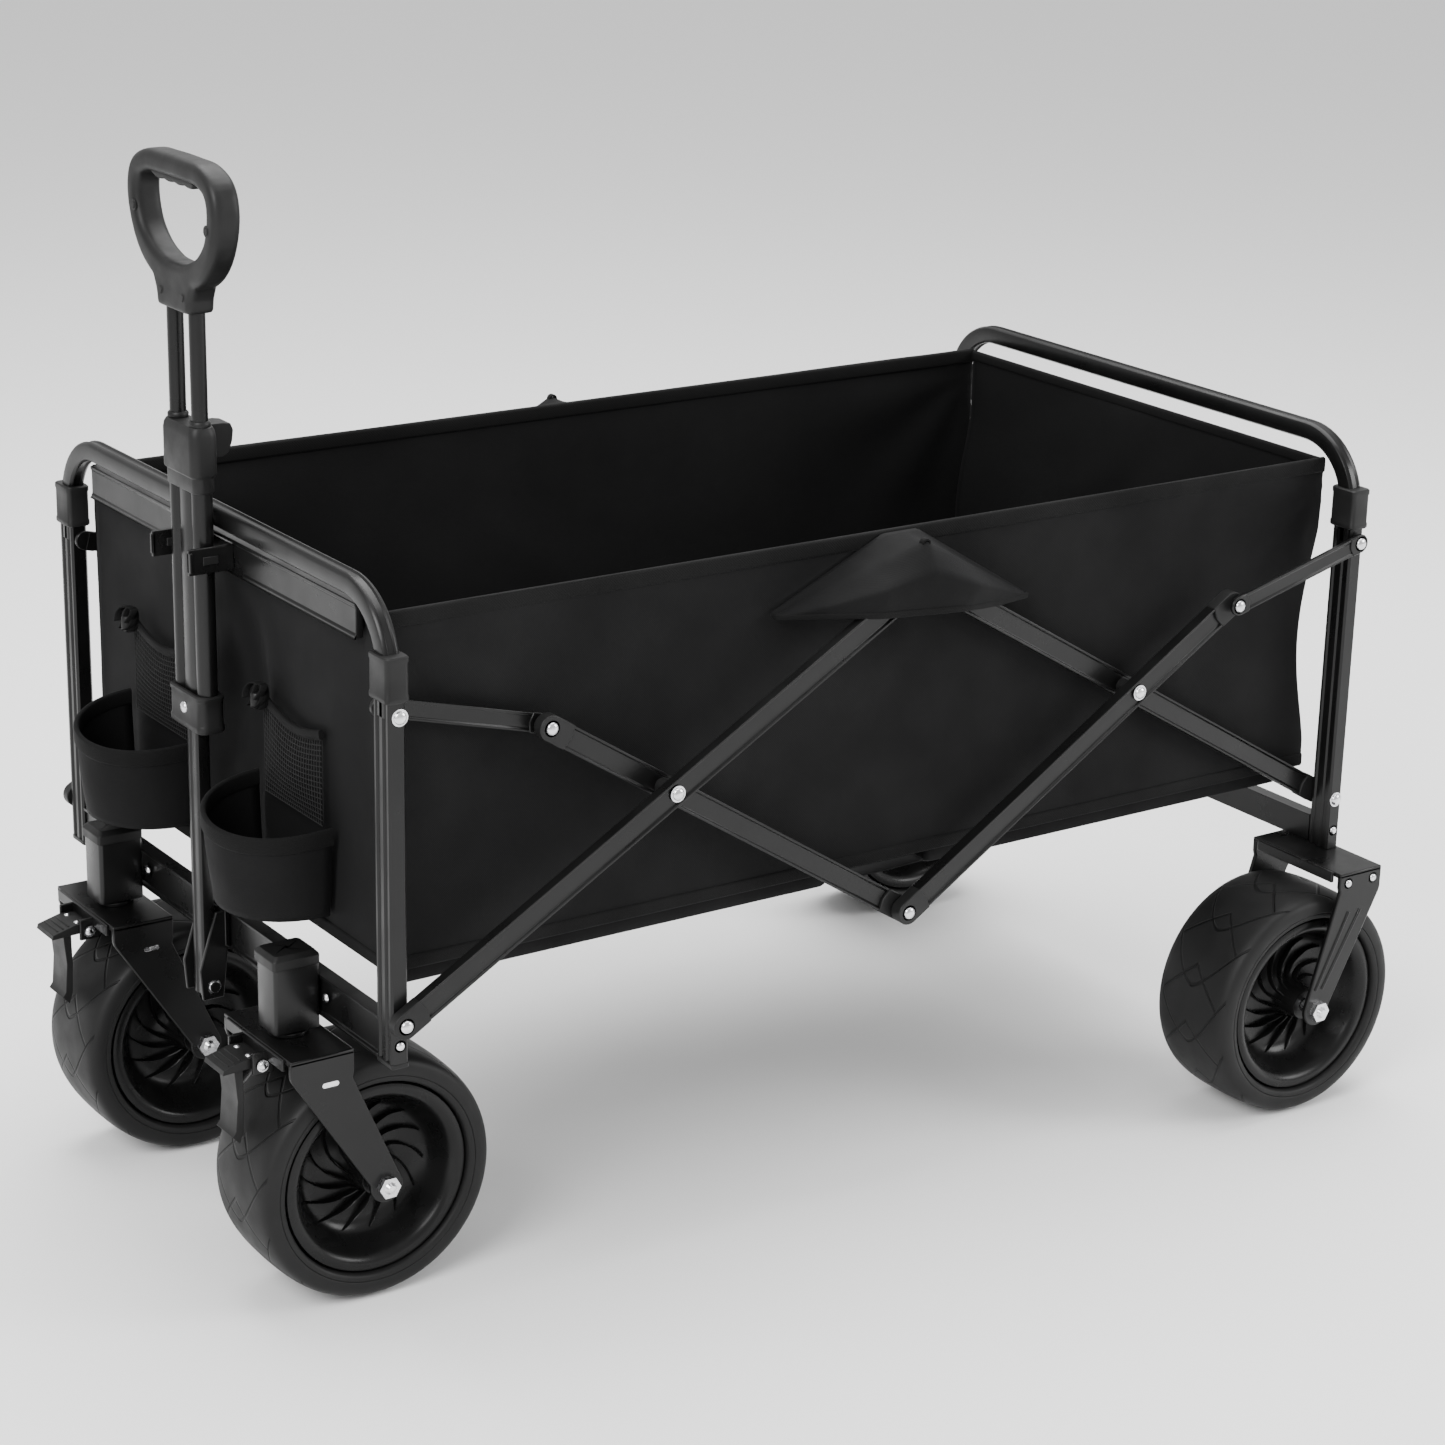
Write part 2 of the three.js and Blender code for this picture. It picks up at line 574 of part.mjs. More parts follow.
/** The hand opening: a flat-topped egg. */
function gripHole() {
  const { low, high, half, corner } = GRIP_HOLE;
  const shape = new THREE.Shape();
  shape.moveTo(0, low);
  shape.bezierCurveTo(half * 0.55, low, half, low + 24, half, high - corner);
  shape.bezierCurveTo(half, high - 6, half - 8, high, half - corner, high);
  shape.lineTo(corner - half, high);
  shape.bezierCurveTo(8 - half, high, -half, high - 6, -half, high - corner);
  shape.bezierCurveTo(-half, low + 24, -half * 0.55, low, 0, low);
  return shape;
}

function gripPrism(shape, halfX) {
  const made = prismZ(shape, -halfX, halfX, 8);
  return made.rotate([90, 0, 0]).rotate([0, 0, 90]).translate([HANDLE.x, 0, 0]);
}
const socket = [HANDLE.gripLow - 10, rods.high + GAP];
const gripPocket = union(
  rodZ(HANDLE.rod + GAP, socket, HANDLE.x, HANDLE.barrel),
  rodZ(HANDLE.rod + GAP, socket, HANDLE.x, -HANDLE.barrel),
  box([HANDLE.x - 5 - GAP, HANDLE.x + 5 + GAP], [-HANDLE.barrel, HANDLE.barrel], socket),
);
const loop = cut(gripPrism(gripOutline(), HANDLE.gripHalfX), gripPrism(gripHole(), 20));
part("handle_grip", cut(loop, gripPocket), BLACK_PLASTIC);

/** A soft pad on the underside of the loop's top bar, with a wave for each finger. */
function padOutline() {
  const { high, half, corner } = GRIP_HOLE;
  const shape = new THREE.Shape();
  const reach = half - corner;
  const step = (2 * reach) / PAD.waves;
  shape.moveTo(reach, high - GAP);
  shape.lineTo(-reach, high - GAP);
  for (let i = 0; i < PAD.waves; i++) {
    const y = -reach + i * step;
    shape.quadraticCurveTo(y + step / 2, high - PAD.depth - PAD.swell, y + step, high - PAD.depth);
  }
  return shape;
}
part("grip_pad", gripPrism(padOutline(), PAD.halfX), BLACK_PLASTIC);

export default wagon;
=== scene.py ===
"""The look of the folding wagon: its fabric, tubes, links, wheels and handle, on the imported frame.

Lengths are millimetres, measured from the middle of the basket, and set down on the ground by at().
"""

import math

import bmesh
import bpy
from mathutils import Matrix, Vector, noise


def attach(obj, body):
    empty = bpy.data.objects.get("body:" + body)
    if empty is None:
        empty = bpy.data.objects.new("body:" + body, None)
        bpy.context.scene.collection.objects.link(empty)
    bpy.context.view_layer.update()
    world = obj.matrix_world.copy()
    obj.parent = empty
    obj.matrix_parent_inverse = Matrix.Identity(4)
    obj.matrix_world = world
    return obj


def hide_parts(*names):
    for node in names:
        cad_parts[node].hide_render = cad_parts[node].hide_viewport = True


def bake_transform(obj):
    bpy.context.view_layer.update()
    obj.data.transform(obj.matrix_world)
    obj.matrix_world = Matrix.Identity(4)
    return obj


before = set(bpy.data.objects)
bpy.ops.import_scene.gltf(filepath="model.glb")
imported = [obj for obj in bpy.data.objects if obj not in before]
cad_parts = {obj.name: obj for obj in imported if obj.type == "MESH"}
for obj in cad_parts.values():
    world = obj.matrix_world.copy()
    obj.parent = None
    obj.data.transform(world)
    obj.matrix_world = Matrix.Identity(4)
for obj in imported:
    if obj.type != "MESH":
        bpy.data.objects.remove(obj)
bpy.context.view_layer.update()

MM = 0.001
BASKET_OFFSET = 20
GROUND = 7
SIDES = (("left", 1), ("right", -1))
ENDS = (("front", -1), ("rear", 1))

# ---- Driving dimensions ---------------------------------------------------------------------
POST_X = 436
POST_Y = 254
ARCH_MID = 557.5
ARCH_RADIUS = 52
POST_FOOT = {"front": 228, "rear": 217.5}
POST_TOP = 508

PIVOT = {
    "foot": (POST_X, 260),
    "cross": (217, 388),
    "apex": (0, 516),
    "low": (0, 250),
    "elbow": (308, 446),
    "stay": (434, 479),
}
LINK_WIDTH = 18
STAY_WIDTH = 14
LAYER = {
    "front_stay": (236.2, 239.4),
    "rear_lift": (233, 242),
    "front_cross": (243.3, 252.3),
    "rear_cross": (254, 264),
    "front_lift": (265.6, 274),
    "rear_stay": (268.2, 271.4),
}
POST_FACE = POST_Y + 11.3

RIM_Z = 541
WALL_Y = 227.7
WALL_LOW = 280
WALL_END = 429
END_WALL_X = 428.7
BOARD_HINGE = 412
BOARD_HALF = 222

WHEEL_Z = 102
CASTER = {"x": -461, "y": 146, "axle": -411, "leg": 50, "plate": 215}
REAR = {"x": 418, "y": 262, "axle": 385, "leg": 50, "plate": 217}
HANDLE_X = -455
BARREL = 17.5


def at(x, y, z):
    """A point of the row frame, in metres."""
    return Vector(((x + BASKET_OFFSET) * MM, y * MM, (z - GROUND) * MM))


# ---- Materials ------------------------------------------------------------------------------
def start_material(name, color, roughness, shine=0.5, **settings):
    made = bpy.data.materials.new(name)
    made.use_nodes = True
    shader = made.node_tree.nodes["Principled BSDF"]
    shader.inputs["Base Color"].default_value = (*color, 1)
    shader.inputs["Roughness"].default_value = roughness
    shader.inputs["Specular IOR Level"].default_value = shine
    for socket, value in settings.items():
        shader.inputs[socket.replace("_", " ")].default_value = value
    return made, made.node_tree, shader


def add(tree, kind, **values):
    """A node, with its sockets set by name or by number as i0, i1 and so on."""
    node = tree.nodes.new(kind)
    for key, value in values.items():
        if hasattr(node, key):
            setattr(node, key, value)
        elif key[0] == "i" and key[1:].isdigit():
            node.inputs[int(key[1:])].default_value = value
        else:
            node.inputs[key].default_value = value
    return node


def math_node(tree, operation, a, b=None, clamp=False):
    node = tree.nodes.new("ShaderNodeMath")
    node.operation = operation
    node.use_clamp = clamp
    for number, value in enumerate((a, b)):
        if value is None:
            continue
        if isinstance(value, (int, float)):
            node.inputs[number].default_value = value
        else:
            tree.links.new(value, node.inputs[number])
    return node.outputs[0]


def coordinates(tree, kind="Object"):
    return tree.nodes.new("ShaderNodeTexCoord").outputs[kind]


def noise_field(tree, scale, detail=3.0, kind="Object"):
    field = add(tree, "ShaderNodeTexNoise", Scale=scale, Detail=detail)
    tree.links.new(coordinates(tree, kind), field.inputs["Vector"])
    return field.outputs["Fac"]


def spread(tree, value, low, high, start=0.3, end=0.7):
    """Maps a field onto a range of values."""
    node = tree.nodes.new("ShaderNodeMapRange")
    for number, number_value in enumerate((start, end, low, high), start=1):
        node.inputs[number].default_value = number_value
    tree.links.new(value, node.inputs[0])
    return node.outputs[0]


def tint(tree, shader, value, dark, light):
    """Base colour from dark to light as a field goes from 0 to 1."""
    ramp = tree.nodes.new("ShaderNodeValToRGB")
    ramp.color_ramp.elements[0].color = (*dark, 1)
    ramp.color_ramp.elements[0].position = 0.3
    ramp.color_ramp.elements[1].color = (*light, 1)
    ramp.color_ramp.elements[1].position = 0.7
    tree.links.new(value, ramp.inputs[0])
    tree.links.new(ramp.outputs[0], shader.inputs["Base Color"])


def bump(tree, shader, height, distance, strength=1.0):
    """Relief of that many millimetres."""
    node = add(tree, "ShaderNodeBump", Strength=strength, Distance=distance * MM)
    tree.links.new(height, node.inputs["Height"])
    previous = shader.inputs["Normal"].links
    if previous:
        tree.links.new(previous[0].from_socket, node.inputs["Normal"])
    tree.links.new(node.outputs["Normal"], shader.inputs["Normal"])


def uneven_gloss(tree, shader, scale, detail, low, high):
    field = spread(tree, noise_field(tree, scale, detail), low, high)
    tree.links.new(field, shader.inputs["Roughness"])


def painted_steel():
    made, tree, shader = start_material("powder_coat", (0.004, 0.004, 0.004), 0.3, 0.22,
                                        Coat_Weight=0.08, Coat_Roughness=0.2)
    tint(tree, shader, noise_field(tree, 9, 4), (0.003, 0.003, 0.003), (0.006, 0.006, 0.006))
    uneven_gloss(tree, shader, 30, 5, 0.24, 0.4)
    bump(tree, shader, noise_field(tree, 900, 2), 0.05, 0.5)
    return made


def moulded_plastic():
    made, tree, shader = start_material("moulded_plastic", (0.007, 0.007, 0.007), 0.45, 0.22)
    tint(tree, shader, noise_field(tree, 14, 4), (0.006, 0.006, 0.006), (0.011, 0.011, 0.011))
    uneven_gloss(tree, shader, 60, 4, 0.38, 0.55)
    bump(tree, shader, noise_field(tree, 1600, 2), 0.06, 0.6)
    return made


def wheel_plastic():
    made, tree, shader = start_material("wheel_plastic", (0.004, 0.004, 0.004), 0.3, 0.2)
    tint(tree, shader, noise_field(tree, 20, 3), (0.003, 0.003, 0.003), (0.006, 0.006, 0.006))
    uneven_gloss(tree, shader, 45, 4, 0.22, 0.36)
    bump(tree, shader, noise_field(tree, 1200, 2), 0.04, 0.5)
    return made


def soft_grip():
    made, tree, shader = start_material("soft_grip", (0.008, 0.008, 0.008), 0.62, 0.3)
    tint(tree, shader, noise_field(tree, 40, 3), (0.007, 0.007, 0.007), (0.012, 0.012, 0.012))
    bump(tree, shader, noise_field(tree, 2200, 2), 0.08, 0.8)
    return made


def zinc():
    made, tree, shader = start_material("zinc_plate", (0.72, 0.72, 0.74), 0.25, Metallic=1.0)
    tint(tree, shader, noise_field(tree, 160, 4), (0.60, 0.60, 0.62), (0.82, 0.82, 0.83))
    uneven_gloss(tree, shader, 260, 4, 0.16, 0.36)
    bump(tree, shader, noise_field(tree, 1500, 2), 0.03, 0.5)
    return made


def weave(tree, pitch):
    """A plain weave: two crossing sets of yarns, 0 between them and 1 on top."""
    parts = tree.nodes.new("ShaderNodeSeparateXYZ")
    tree.links.new(coordinates(tree), parts.inputs[0])
    turn = 2 * math.pi / (pitch * MM)
    along = math_node(tree, "ADD", parts.outputs[0], parts.outputs[1])
    warp = math_node(tree, "SINE", math_node(tree, "MULTIPLY", along, turn))
    weft = math_node(tree, "SINE", math_node(tree, "MULTIPLY", parts.outputs[2], turn))
    crossed = math_node(tree, "MULTIPLY", warp, weft)
    return math_node(tree, "MULTIPLY_ADD", crossed, 0.5)


def polyester(name, dark, light, pitch, relief):
    made, tree, shader = start_material(name, dark, 0.85, 0.11, Sheen_Weight=0.02, Sheen_Roughness=0.45)
    shader.inputs["Sheen Tint"].default_value = (0.55, 0.55, 0.57, 1)
    tint(tree, shader, noise_field(tree, 5, 5), dark, light)
    uneven_gloss(tree, shader, 18, 4, 0.7, 0.88)
    bump(tree, shader, noise_field(tree, 16, 3), 1.6, 0.35)
    bump(tree, shader, weave(tree, pitch), relief, 0.7)
    return made


def tread_rubber():
    """Rubber with thin curved grooves that cross over the tread, the grooves coloured darker as painted
    shade; UV runs round and across it.
    """
    made, tree, shader = start_material("tread_rubber", (0.008, 0.008, 0.008), 0.55, 0.2)
    parts = tree.nodes.new("ShaderNodeSeparateXYZ")
    tree.links.new(coordinates(tree, "UV"), parts.inputs[0])
    turns = math_node(tree, "MULTIPLY", parts.outputs[0], 12)
    across = math_node(tree, "SUBTRACT", math_node(tree, "MULTIPLY", parts.outputs[1], 4), 2)
    reach = math_node(tree, "ABSOLUTE", across)
    curved = math_node(tree, "POWER", reach, 1.6)

    def groove(phase, limit):
        place = math_node(tree, "FRACT", phase)
        away = math_node(tree, "ABSOLUTE", math_node(tree, "SUBTRACT", place, 0.5))
        node = tree.nodes.new("ShaderNodeMapRange")
        node.interpolation_type = "SMOOTHSTEP"
        for number, value in enumerate((0.014, 0.042, 1.0, 0.0), start=1):
            node.inputs[number].default_value = value
        tree.links.new(away, node.inputs[0])
        inside = math_node(tree, "LESS_THAN", reach, limit)
        return math_node(tree, "MULTIPLY", node.outputs[0], inside)

    back = math_node(tree, "ADD", turns, math_node(tree, "MULTIPLY", curved, 0.95))
    forth = math_node(tree, "SUBTRACT", turns, math_node(tree, "MULTIPLY", reach, 0.75))
    offset = math_node(tree, "ADD", forth, 0.35)
    lines = math_node(tree, "MAXIMUM", groove(back, 1.0), groove(offset, 0.82))
    raised = math_node(tree, "SUBTRACT", 1.0, lines)
    # Painted shade: the grooves get a darker base colour than the raised tread, as well as their bump.
    tint(tree, shader, spread(tree, raised, 0.3, 0.62, 0.0, 1.0), (0.0015, 0.0015, 0.0015),
         (0.009, 0.009, 0.009))
    uneven_gloss(tree, shader, 40, 4, 0.45, 0.62)
    bump(tree, shader, noise_field(tree, 500, 2), 0.08, 0.5)
    bump(tree, shader, raised, 1.5, 1.0)
    return made


FINISH = {
    "steel": (painted_steel(), "black_steel"),
    "plastic": (moulded_plastic(), "black_plastic"),
    "wheel": (wheel_plastic(), "black_plastic"),
    "grip": (soft_grip(), "black_plastic"),
    "zinc": (zinc(), "rivet_steel"),
    "fabric": (polyester("polyester", (0.0035, 0.0035, 0.0036), (0.0065, 0.0065, 0.0066), 1.3, 0.12),
               "fabric"),
    "binding": (polyester("webbing", (0.003, 0.003, 0.003), (0.006, 0.006, 0.006), 2.2, 0.25),
                "fabric"),
    "net": (polyester("net_yarn", (0.012, 0.012, 0.012), (0.022, 0.022, 0.022), 0.8, 0.1), "fabric"),
    "tyre": (tread_rubber(), "tyre_rubber"),
}


# ---- Mesh building --------------------------------------------------------------------------
def piece(name, shape, body, finish, stands_for=(), sharp=38, bevel=0.0):
    """An object from (points, faces) that rides on a body; a piece that bends between two has none."""
    return finished(name, mesh_of(name, shape, weld=True), body, finish, stands_for, sharp, bevel)


def mesh_of(name, shape, weld=False):
    """A mesh from (points, faces), with its faces turned outward."""
    points, faces = shape
    mesh = bpy.data.meshes.new(name)
    mesh.from_pydata([at(*p) for p in points], [], faces)
    turn_outward(mesh, weld)
    return mesh


def turn_outward(mesh, weld=False):
    shell = bmesh.new()
    shell.from_mesh(mesh)
    if weld:
        bmesh.ops.remove_doubles(shell, verts=shell.verts, dist=1e-6)
    bmesh.ops.recalc_face_normals(shell, faces=shell.faces)
    shell.to_mesh(mesh)
    shell.free()


def finished(name, mesh, body, finish, stands_for=(), sharp=38, bevel=0.0):
    mesh.polygons.foreach_set("use_smooth", [True] * len(mesh.polygons))
    mesh.set_sharp_from_angle(angle=math.radians(sharp))
    made, slot = FINISH[finish]
    mesh.materials.append(made)
    thing = bpy.data.objects.new(name, mesh)
    bpy.context.scene.collection.objects.link(thing)
    if bevel:
        edges = thing.modifiers.new("rounded edges", "BEVEL")
        edges.width = bevel * MM
        edges.segments = 2
        edges.limit_method = "ANGLE"
        edges.angle_limit = math.radians(32)
    if body:
        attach(thing, body)
    if stands_for:
        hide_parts(*stands_for)
    return thing


def joined(*shapes):
    points, faces = [], []
    for more_points, more_faces in shapes:
        base = len(points)
        points.extend(more_points)
        faces.extend(tuple(i + base for i in face) for face in more_faces)
    return points, faces


def rings(loops, closed=False, capped=True):
    """Faces between loops of equal length; closed joins the last loop to the first."""
    count = len(loops[0])
    points = [p for loop in loops for p in loop]
    faces = []
    for i in range(len(loops) if closed else len(loops) - 1):
        here, there = i * count, ((i + 1) % len(loops)) * count
        for j in range(count):
            k = (j + 1) % count
            faces.append((here + j, here + k, there + k, there + j))
    if capped and not closed:
        last = (len(loops) - 1) * count
        faces.append(tuple(range(count)))
        faces.append(tuple(last + j for j in range(count)))
    return points, faces


def prism(outline, axis, low, high):
    """A plate: outline in the two other axes, from low to high along this one."""
    def put(a, b, level):
        return {"x": (level, a, b), "y": (a, level, b), "z": (a, b, level)}[axis]
    return rings([[put(a, b, level) for a, b in outline] for level in (low, high)])


def block(x, y, z):
    return prism([(x[0], y[0]), (x[1], y[0]), (x[1], y[1]), (x[0], y[1])], "z", *z)


def arc(centre, radius, start, end, steps):
    """Points on an arc, with its angles in degrees."""
    made = []
    for i in range(steps + 1):
        angle = math.radians(start + (end - start) * i / steps)
        made.append((centre[0] + radius * math.cos(angle), centre[1] + radius * math.sin(angle)))
    return made


def rounded(half_a, half_b, radius, steps=4, centre=(0, 0)):
    made = []
    for number, (a, b) in enumerate(((1, 1), (-1, 1), (-1, -1), (1, -1))):
        corner = (centre[0] + a * (half_a - radius), centre[1] + b * (half_b - radius))
        made += arc(corner, radius, 90 * number, 90 * number + 90, steps)
    return made


def circle(radius, steps=20):
    return arc((0, 0), radius, 0, 360 * (steps - 1) / steps, steps - 1)


def turned(profile, centre, axis="y", sides=48, closed=False):
    """A surface of revolution from [radius, height] points."""
    def put(radius, height, turn):
        a, b = radius * math.cos(turn), radius * math.sin(turn)
        x, y, z = {"y": (a, height, b), "z": (a, b, height), "x": (height, a, b)}[axis]
        return (centre[0] + x, centre[1] + y, centre[2] + z)
    turns = [2 * math.pi * i / sides for i in range(sides)]
    loops = [[put(r, h, turn) for turn in turns] for r, h in profile]
    return rings(loops, closed=closed, capped=not closed)


def swept(section, path, side, closed=False):
    """A section swept along a path in one plane; side is the unit vector across that plane."""
    side = Vector(side)
    path = [Vector(p) for p in path]
    loops = []
    for i, here in enumerate(path):
        if closed:
            before, after = path[i - 1], path[(i + 1) % len(path)]
        else:
            before, after = path[max(i - 1, 0)], path[min(i + 1, len(path) - 1)]
        outward = (after - before).normalized().cross(side)
        loops.append([tuple(here + side * a + outward * b) for a, b in section])
    return rings(loops, closed=closed)


def rod(radius, start, end, sides=20):
    """A round bar between two points."""
    start, end = Vector(start), Vector(end)
    run = (end - start).normalized()
    side = run.orthogonal().normalized()
    across = run.cross(side)
    ring = circle(radius, sides)
    return rings([[tuple(p + side * a + across * b) for a, b in ring] for p in (start, end)])


def dome(x, y, z, side, radius=4.8, height=2.6):
    """A rivet's head on a face at y, outward."""
    profile = [(0.01, height), (radius * 0.45, height * 0.95), (radius * 0.8, height * 0.7),
               (radius * 0.97, height * 0.35), (radius, 0.0), (radius + 1.3, 0.0),
               (radius + 1.3, -0.5)]
    return turned([(r, side * h) for r, h in profile], (x, y, z), "y", 24)


def hexagon(x, y, z, side, radius=9, height=6):
    """A hexagon nut with a domed end."""
    body = [(a + x, b + z) for a, b in circle(radius, 6)]
    nut = prism(body, "y", y, y + side * height)
    end = turned([(0.01, side * 3.2), (3.0, side * 2.6), (4.8, 0.0)],
                 (x, y + side * height, z), "y", 20)
    return joined(nut, end)


def sheet_grid(place, across, up):
    """A sheet from place(u, v), with u and v from 0 to 1."""
    points = [place(i / across, j / up) for j in range(up + 1) for i in range(across + 1)]
    row = across + 1
    faces = [
        (j * row + i, j * row + i + 1, (j + 1) * row + i + 1, (j + 1) * row + i)
        for j in range(up) for i in range(across)
    ]
    return points, faces


def cloth(name, shape, body, finish, thickness, stands_for=(), rim=True):
    made = piece(name, shape, body, finish, stands_for, sharp=180)
    solid = made.modifiers.new("thickness", "SOLIDIFY")
    solid.thickness = thickness * MM
    solid.offset = 0
    solid.use_rim = rim
    return made


def ripple(x, z, seed, size):
    """Soft unevenness of cloth, from -1 to 1, with features of about that size."""
    return noise.noise(Vector((x / size, z / size, seed)))


# ---- End frames -----------------------------------------------------------------------------
def grooved(half_a, half_b, radius, groove_a, depth):
    """A rounded rectangle with a shallow channel along the middle of its two long faces."""
    ring = rounded(half_a, half_b, radius, 3)
    channel = [(groove_a + 0.8, 0.0), (groove_a - 0.4, depth), (0.4 - groove_a, depth),
               (-groove_a - 0.8, 0.0)]
    top = [(a, half_b - d) for a, d in channel]
    low = [(-a, d - half_b) for a, d in channel]
    return ring[:4] + top + ring[4:8] + ring[8:12] + low + ring[12:]


def arch_path(x):
    bend = ARCH_MID - ARCH_RADIUS
    inner = POST_Y - ARCH_RADIUS
    path = [(x, -POST_Y, POST_TOP - 30)]
    path += [(x, y, z) for y, z in arc((-inner, bend), ARCH_RADIUS, 180, 90, 14)]
    path += [(x, y, z) for y, z in arc((inner, bend), ARCH_RADIUS, 90, 0, 14)]
    path.append((x, POST_Y, POST_TOP - 30))
    return path


def grooved_post():
    """A post's section: two flutes on each broad face."""
    half_x, half_y, depth = 6.5, 11, 1.4
    flute = [(-7.4, 0), (-6.2, depth), (-3.0, depth), (-1.8, 0), (1.8, 0), (3.0, depth),
             (6.2, depth), (7.4, 0)]
    front = [(-half_x + d, y) for y, d in flute]
    back = [(half_x - d, -y) for y, d in flute]
    corner = [(-half_x + 1.6, half_y), (half_x - 1.6, half_y), (half_x, half_y - 1.6)]
    opposite = [(half_x - 1.6, -half_y), (-half_x + 1.6, -half_y), (-half_x, -half_y + 1.6)]
    return front + [(-half_x, half_y - 1.6)] + corner + back + [(half_x, 1.6 - half_y)] + opposite


for end, way in ENDS:
    body = f"{end}_frame"
    x = way * POST_X
    tube = swept(grooved(6.5, 7.5, 3.2, 2.6, 1.3), arch_path(x), (1, 0, 0))
    posts = [prism([(x + a, side * POST_Y + b) for a, b in grooved_post()], "z",
                   POST_FOOT[end], POST_TOP) for _, side in SIDES]
    piece(f"{end}_frame", joined(tube, *posts), body, "steel", [f"{end}_frame_tube"], 30)
    for hand, side in SIDES:
        y = side * POST_Y
        shell = [
            [(x + a, y + b, z) for a, b in rounded(half_x, half_y, 3.5, 4)]
            for half_x, half_y, z in (
                (8.6, 12.8, 489.5), (9.3, 13.4, 490.5), (9.3, 13.4, 493.5), (8.9, 13.0, 494.5),
                (8.9, 13.0, 516.5), (9.3, 13.4, 517.5), (9.3, 13.4, 520.5), (8.5, 12.6, 521.5))
        ]
        piece(f"{end}_corner_{hand}", rings(shell), body, "plastic", [f"{end}_sleeve_{hand}"], 35)
        cap = prism(rounded(6.9, 11.4, 2, 3, (x, y)), "z", POST_FOOT[end] - 2.5, POST_FOOT[end] + 1)
        if end == "front":
            piece(f"{end}_post_cap_{hand}", cap, body, "plastic", bevel=0.6)

# Rails between the posts: folded channels with a lip along each edge.
def channel_rail(name, node, x_face, depth, z0, z1, body, half=242.6):
    """A rail whose open side faces away from the basket."""
    out = -1 if x_face < 0 else 1
    a, b = x_face, x_face - out * depth
    section = [(a, z0), (a, z0 + 2.4), (a - out * 2.2, z0 + 3.6), (a - out * 2.2, z1 - 3.6),
               (a, z1 - 2.4), (a, z1), (b, z1), (b, z0)]
    shape = rings([[(sx, y, sz) for sx, sz in section] for y in (-half, half)])
    return piece(name, shape, body, "steel", [node], 30, bevel=0.5)


channel_rail("front_lower_channel", "front_lower_rail", -442, 12, 227, 258, "front_frame")
channel_rail("rear_lower_channel", "rear_lower_rail", 442, 12, 218, 241, "rear_frame")

handle_rail = prism([(-440, 520), (-438.4, 520), (-438.4, 522.4), (-437.6, 523.4), (-437.6, 541.6),
                     (-438.4, 542.6), (-438.4, 545), (-432, 545), (-432, 520)], "y", -212, 212)
clip = [block((-473, -437.8), sorted((side * 28, side * 31)), (523, 542)) for _, side in SIDES]
lips = [block((-473, -470.6), sorted((side * 28, side * 33)), (525, 540)) for _, side in SIDES]
piece("handle_clip_rail", joined(handle_rail, *clip, *lips), "front_frame", "steel",
      ["handle_rail"], 30, bevel=0.6)
slots = [block((-462, -450), sorted((side * 27.5, side * 31.5)), (529.5, 535.5)) for _, side in SIDES]
piece("handle_clip_spring", joined(*slots), "front_frame", "plastic", bevel=0.5)


# ---- Scissor linkage ------------------------------------------------------------------------
def mirrored(point, way):
    return (way * point[0], point[1])


def on_bar(start, end):
    """Maps (along, across, y) of a bar onto the wagon, with its length."""
    start, end = Vector(start), Vector(end)
    run = (end - start).normalized()

    def put(along, across, y):
        spot = start + run * along + Vector((-run.y, run.x)) * across
        return (spot.x, y, spot.y)
    return put, (end - start).length


def bar(start, end, width, layer, side, lip, trim):
    """A rolled channel with a raised edge along each side."""
    put, length = on_bar(start, end)
    half = width / 2
    low, high = (side * level for level in layer)
    step = side * lip
    section = [
        (-half, low), (half, low), (half, high), (half - 1.6, high), (half - 2.6, high - step),
        (2.6 - half, high - step), (1.6 - half, high), (-half, high),
    ]
    return rings([[put(d, n, y) for n, y in section] for d in (trim, length - trim)])


def end_cap(start, end, width, layer, side, reach):
    """A moulded cap round the start of a bar."""
    put, _ = on_bar(start, end)
    half = width / 2 + 0.6
    outline = [(d, n) for d, n in arc((0, 0), half, 90, 270, 12)] + [(reach, -half), (reach + 2, 0),
                                                                     (reach, half)]
    low, high = side * (layer[0] + 0.1), side * (layer[1] + 0.5)
    return rings([[put(d, n, y) for d, n in outline] for y in (low, high)])


LINKS = (
    ("front_lift", "front_lift_links", -1, "foot", "apex", LINK_WIDTH),
    ("rear_lift", "rear_lift_links", 1, "foot", "apex", LINK_WIDTH),
    ("front_cross", "front_cross_links", -1, "low", "elbow", LINK_WIDTH),
    ("rear_cross", "rear_cross_links", 1, "low", "elbow", LINK_WIDTH),
    ("front_stay", "front_stays", -1, "stay", "elbow", STAY_WIDTH),
    ("rear_stay", "rear_stays", 1, "stay", "elbow", STAY_WIDTH),
)
# Each rivet's head: link, its body, fore or aft, pivot, and the face it stands on.
RIVETS = (
    ("front_foot", "front_lift_links", -1, "foot", LAYER["front_lift"][1] + 0.5),
    ("front_crossing", "front_lift_links", -1, "cross", LAYER["front_lift"][1]),
    ("apex", "front_lift_links", -1, "apex", LAYER["front_lift"][1] + 0.5),
    ("rear_foot", "rear_lift_links", 1, "foot", POST_FACE),
    ("rear_crossing", "rear_cross_links", 1, "cross", LAYER["rear_cross"][1]),
    ("low", "rear_cross_links", 1, "low", LAYER["rear_cross"][1] + 0.5),
    ("front_elbow", "front_cross_links", -1, "elbow", LAYER["front_cross"][1] + 0.5),
    ("rear_elbow", "rear_stays", 1, "elbow", LAYER["rear_stay"][1] + 0.5),
    ("front_stay", "front_stays", -1, "stay", POST_FACE),
    ("rear_stay", "rear_stays", 1, "stay", LAYER["rear_stay"][1] + 0.5),
)
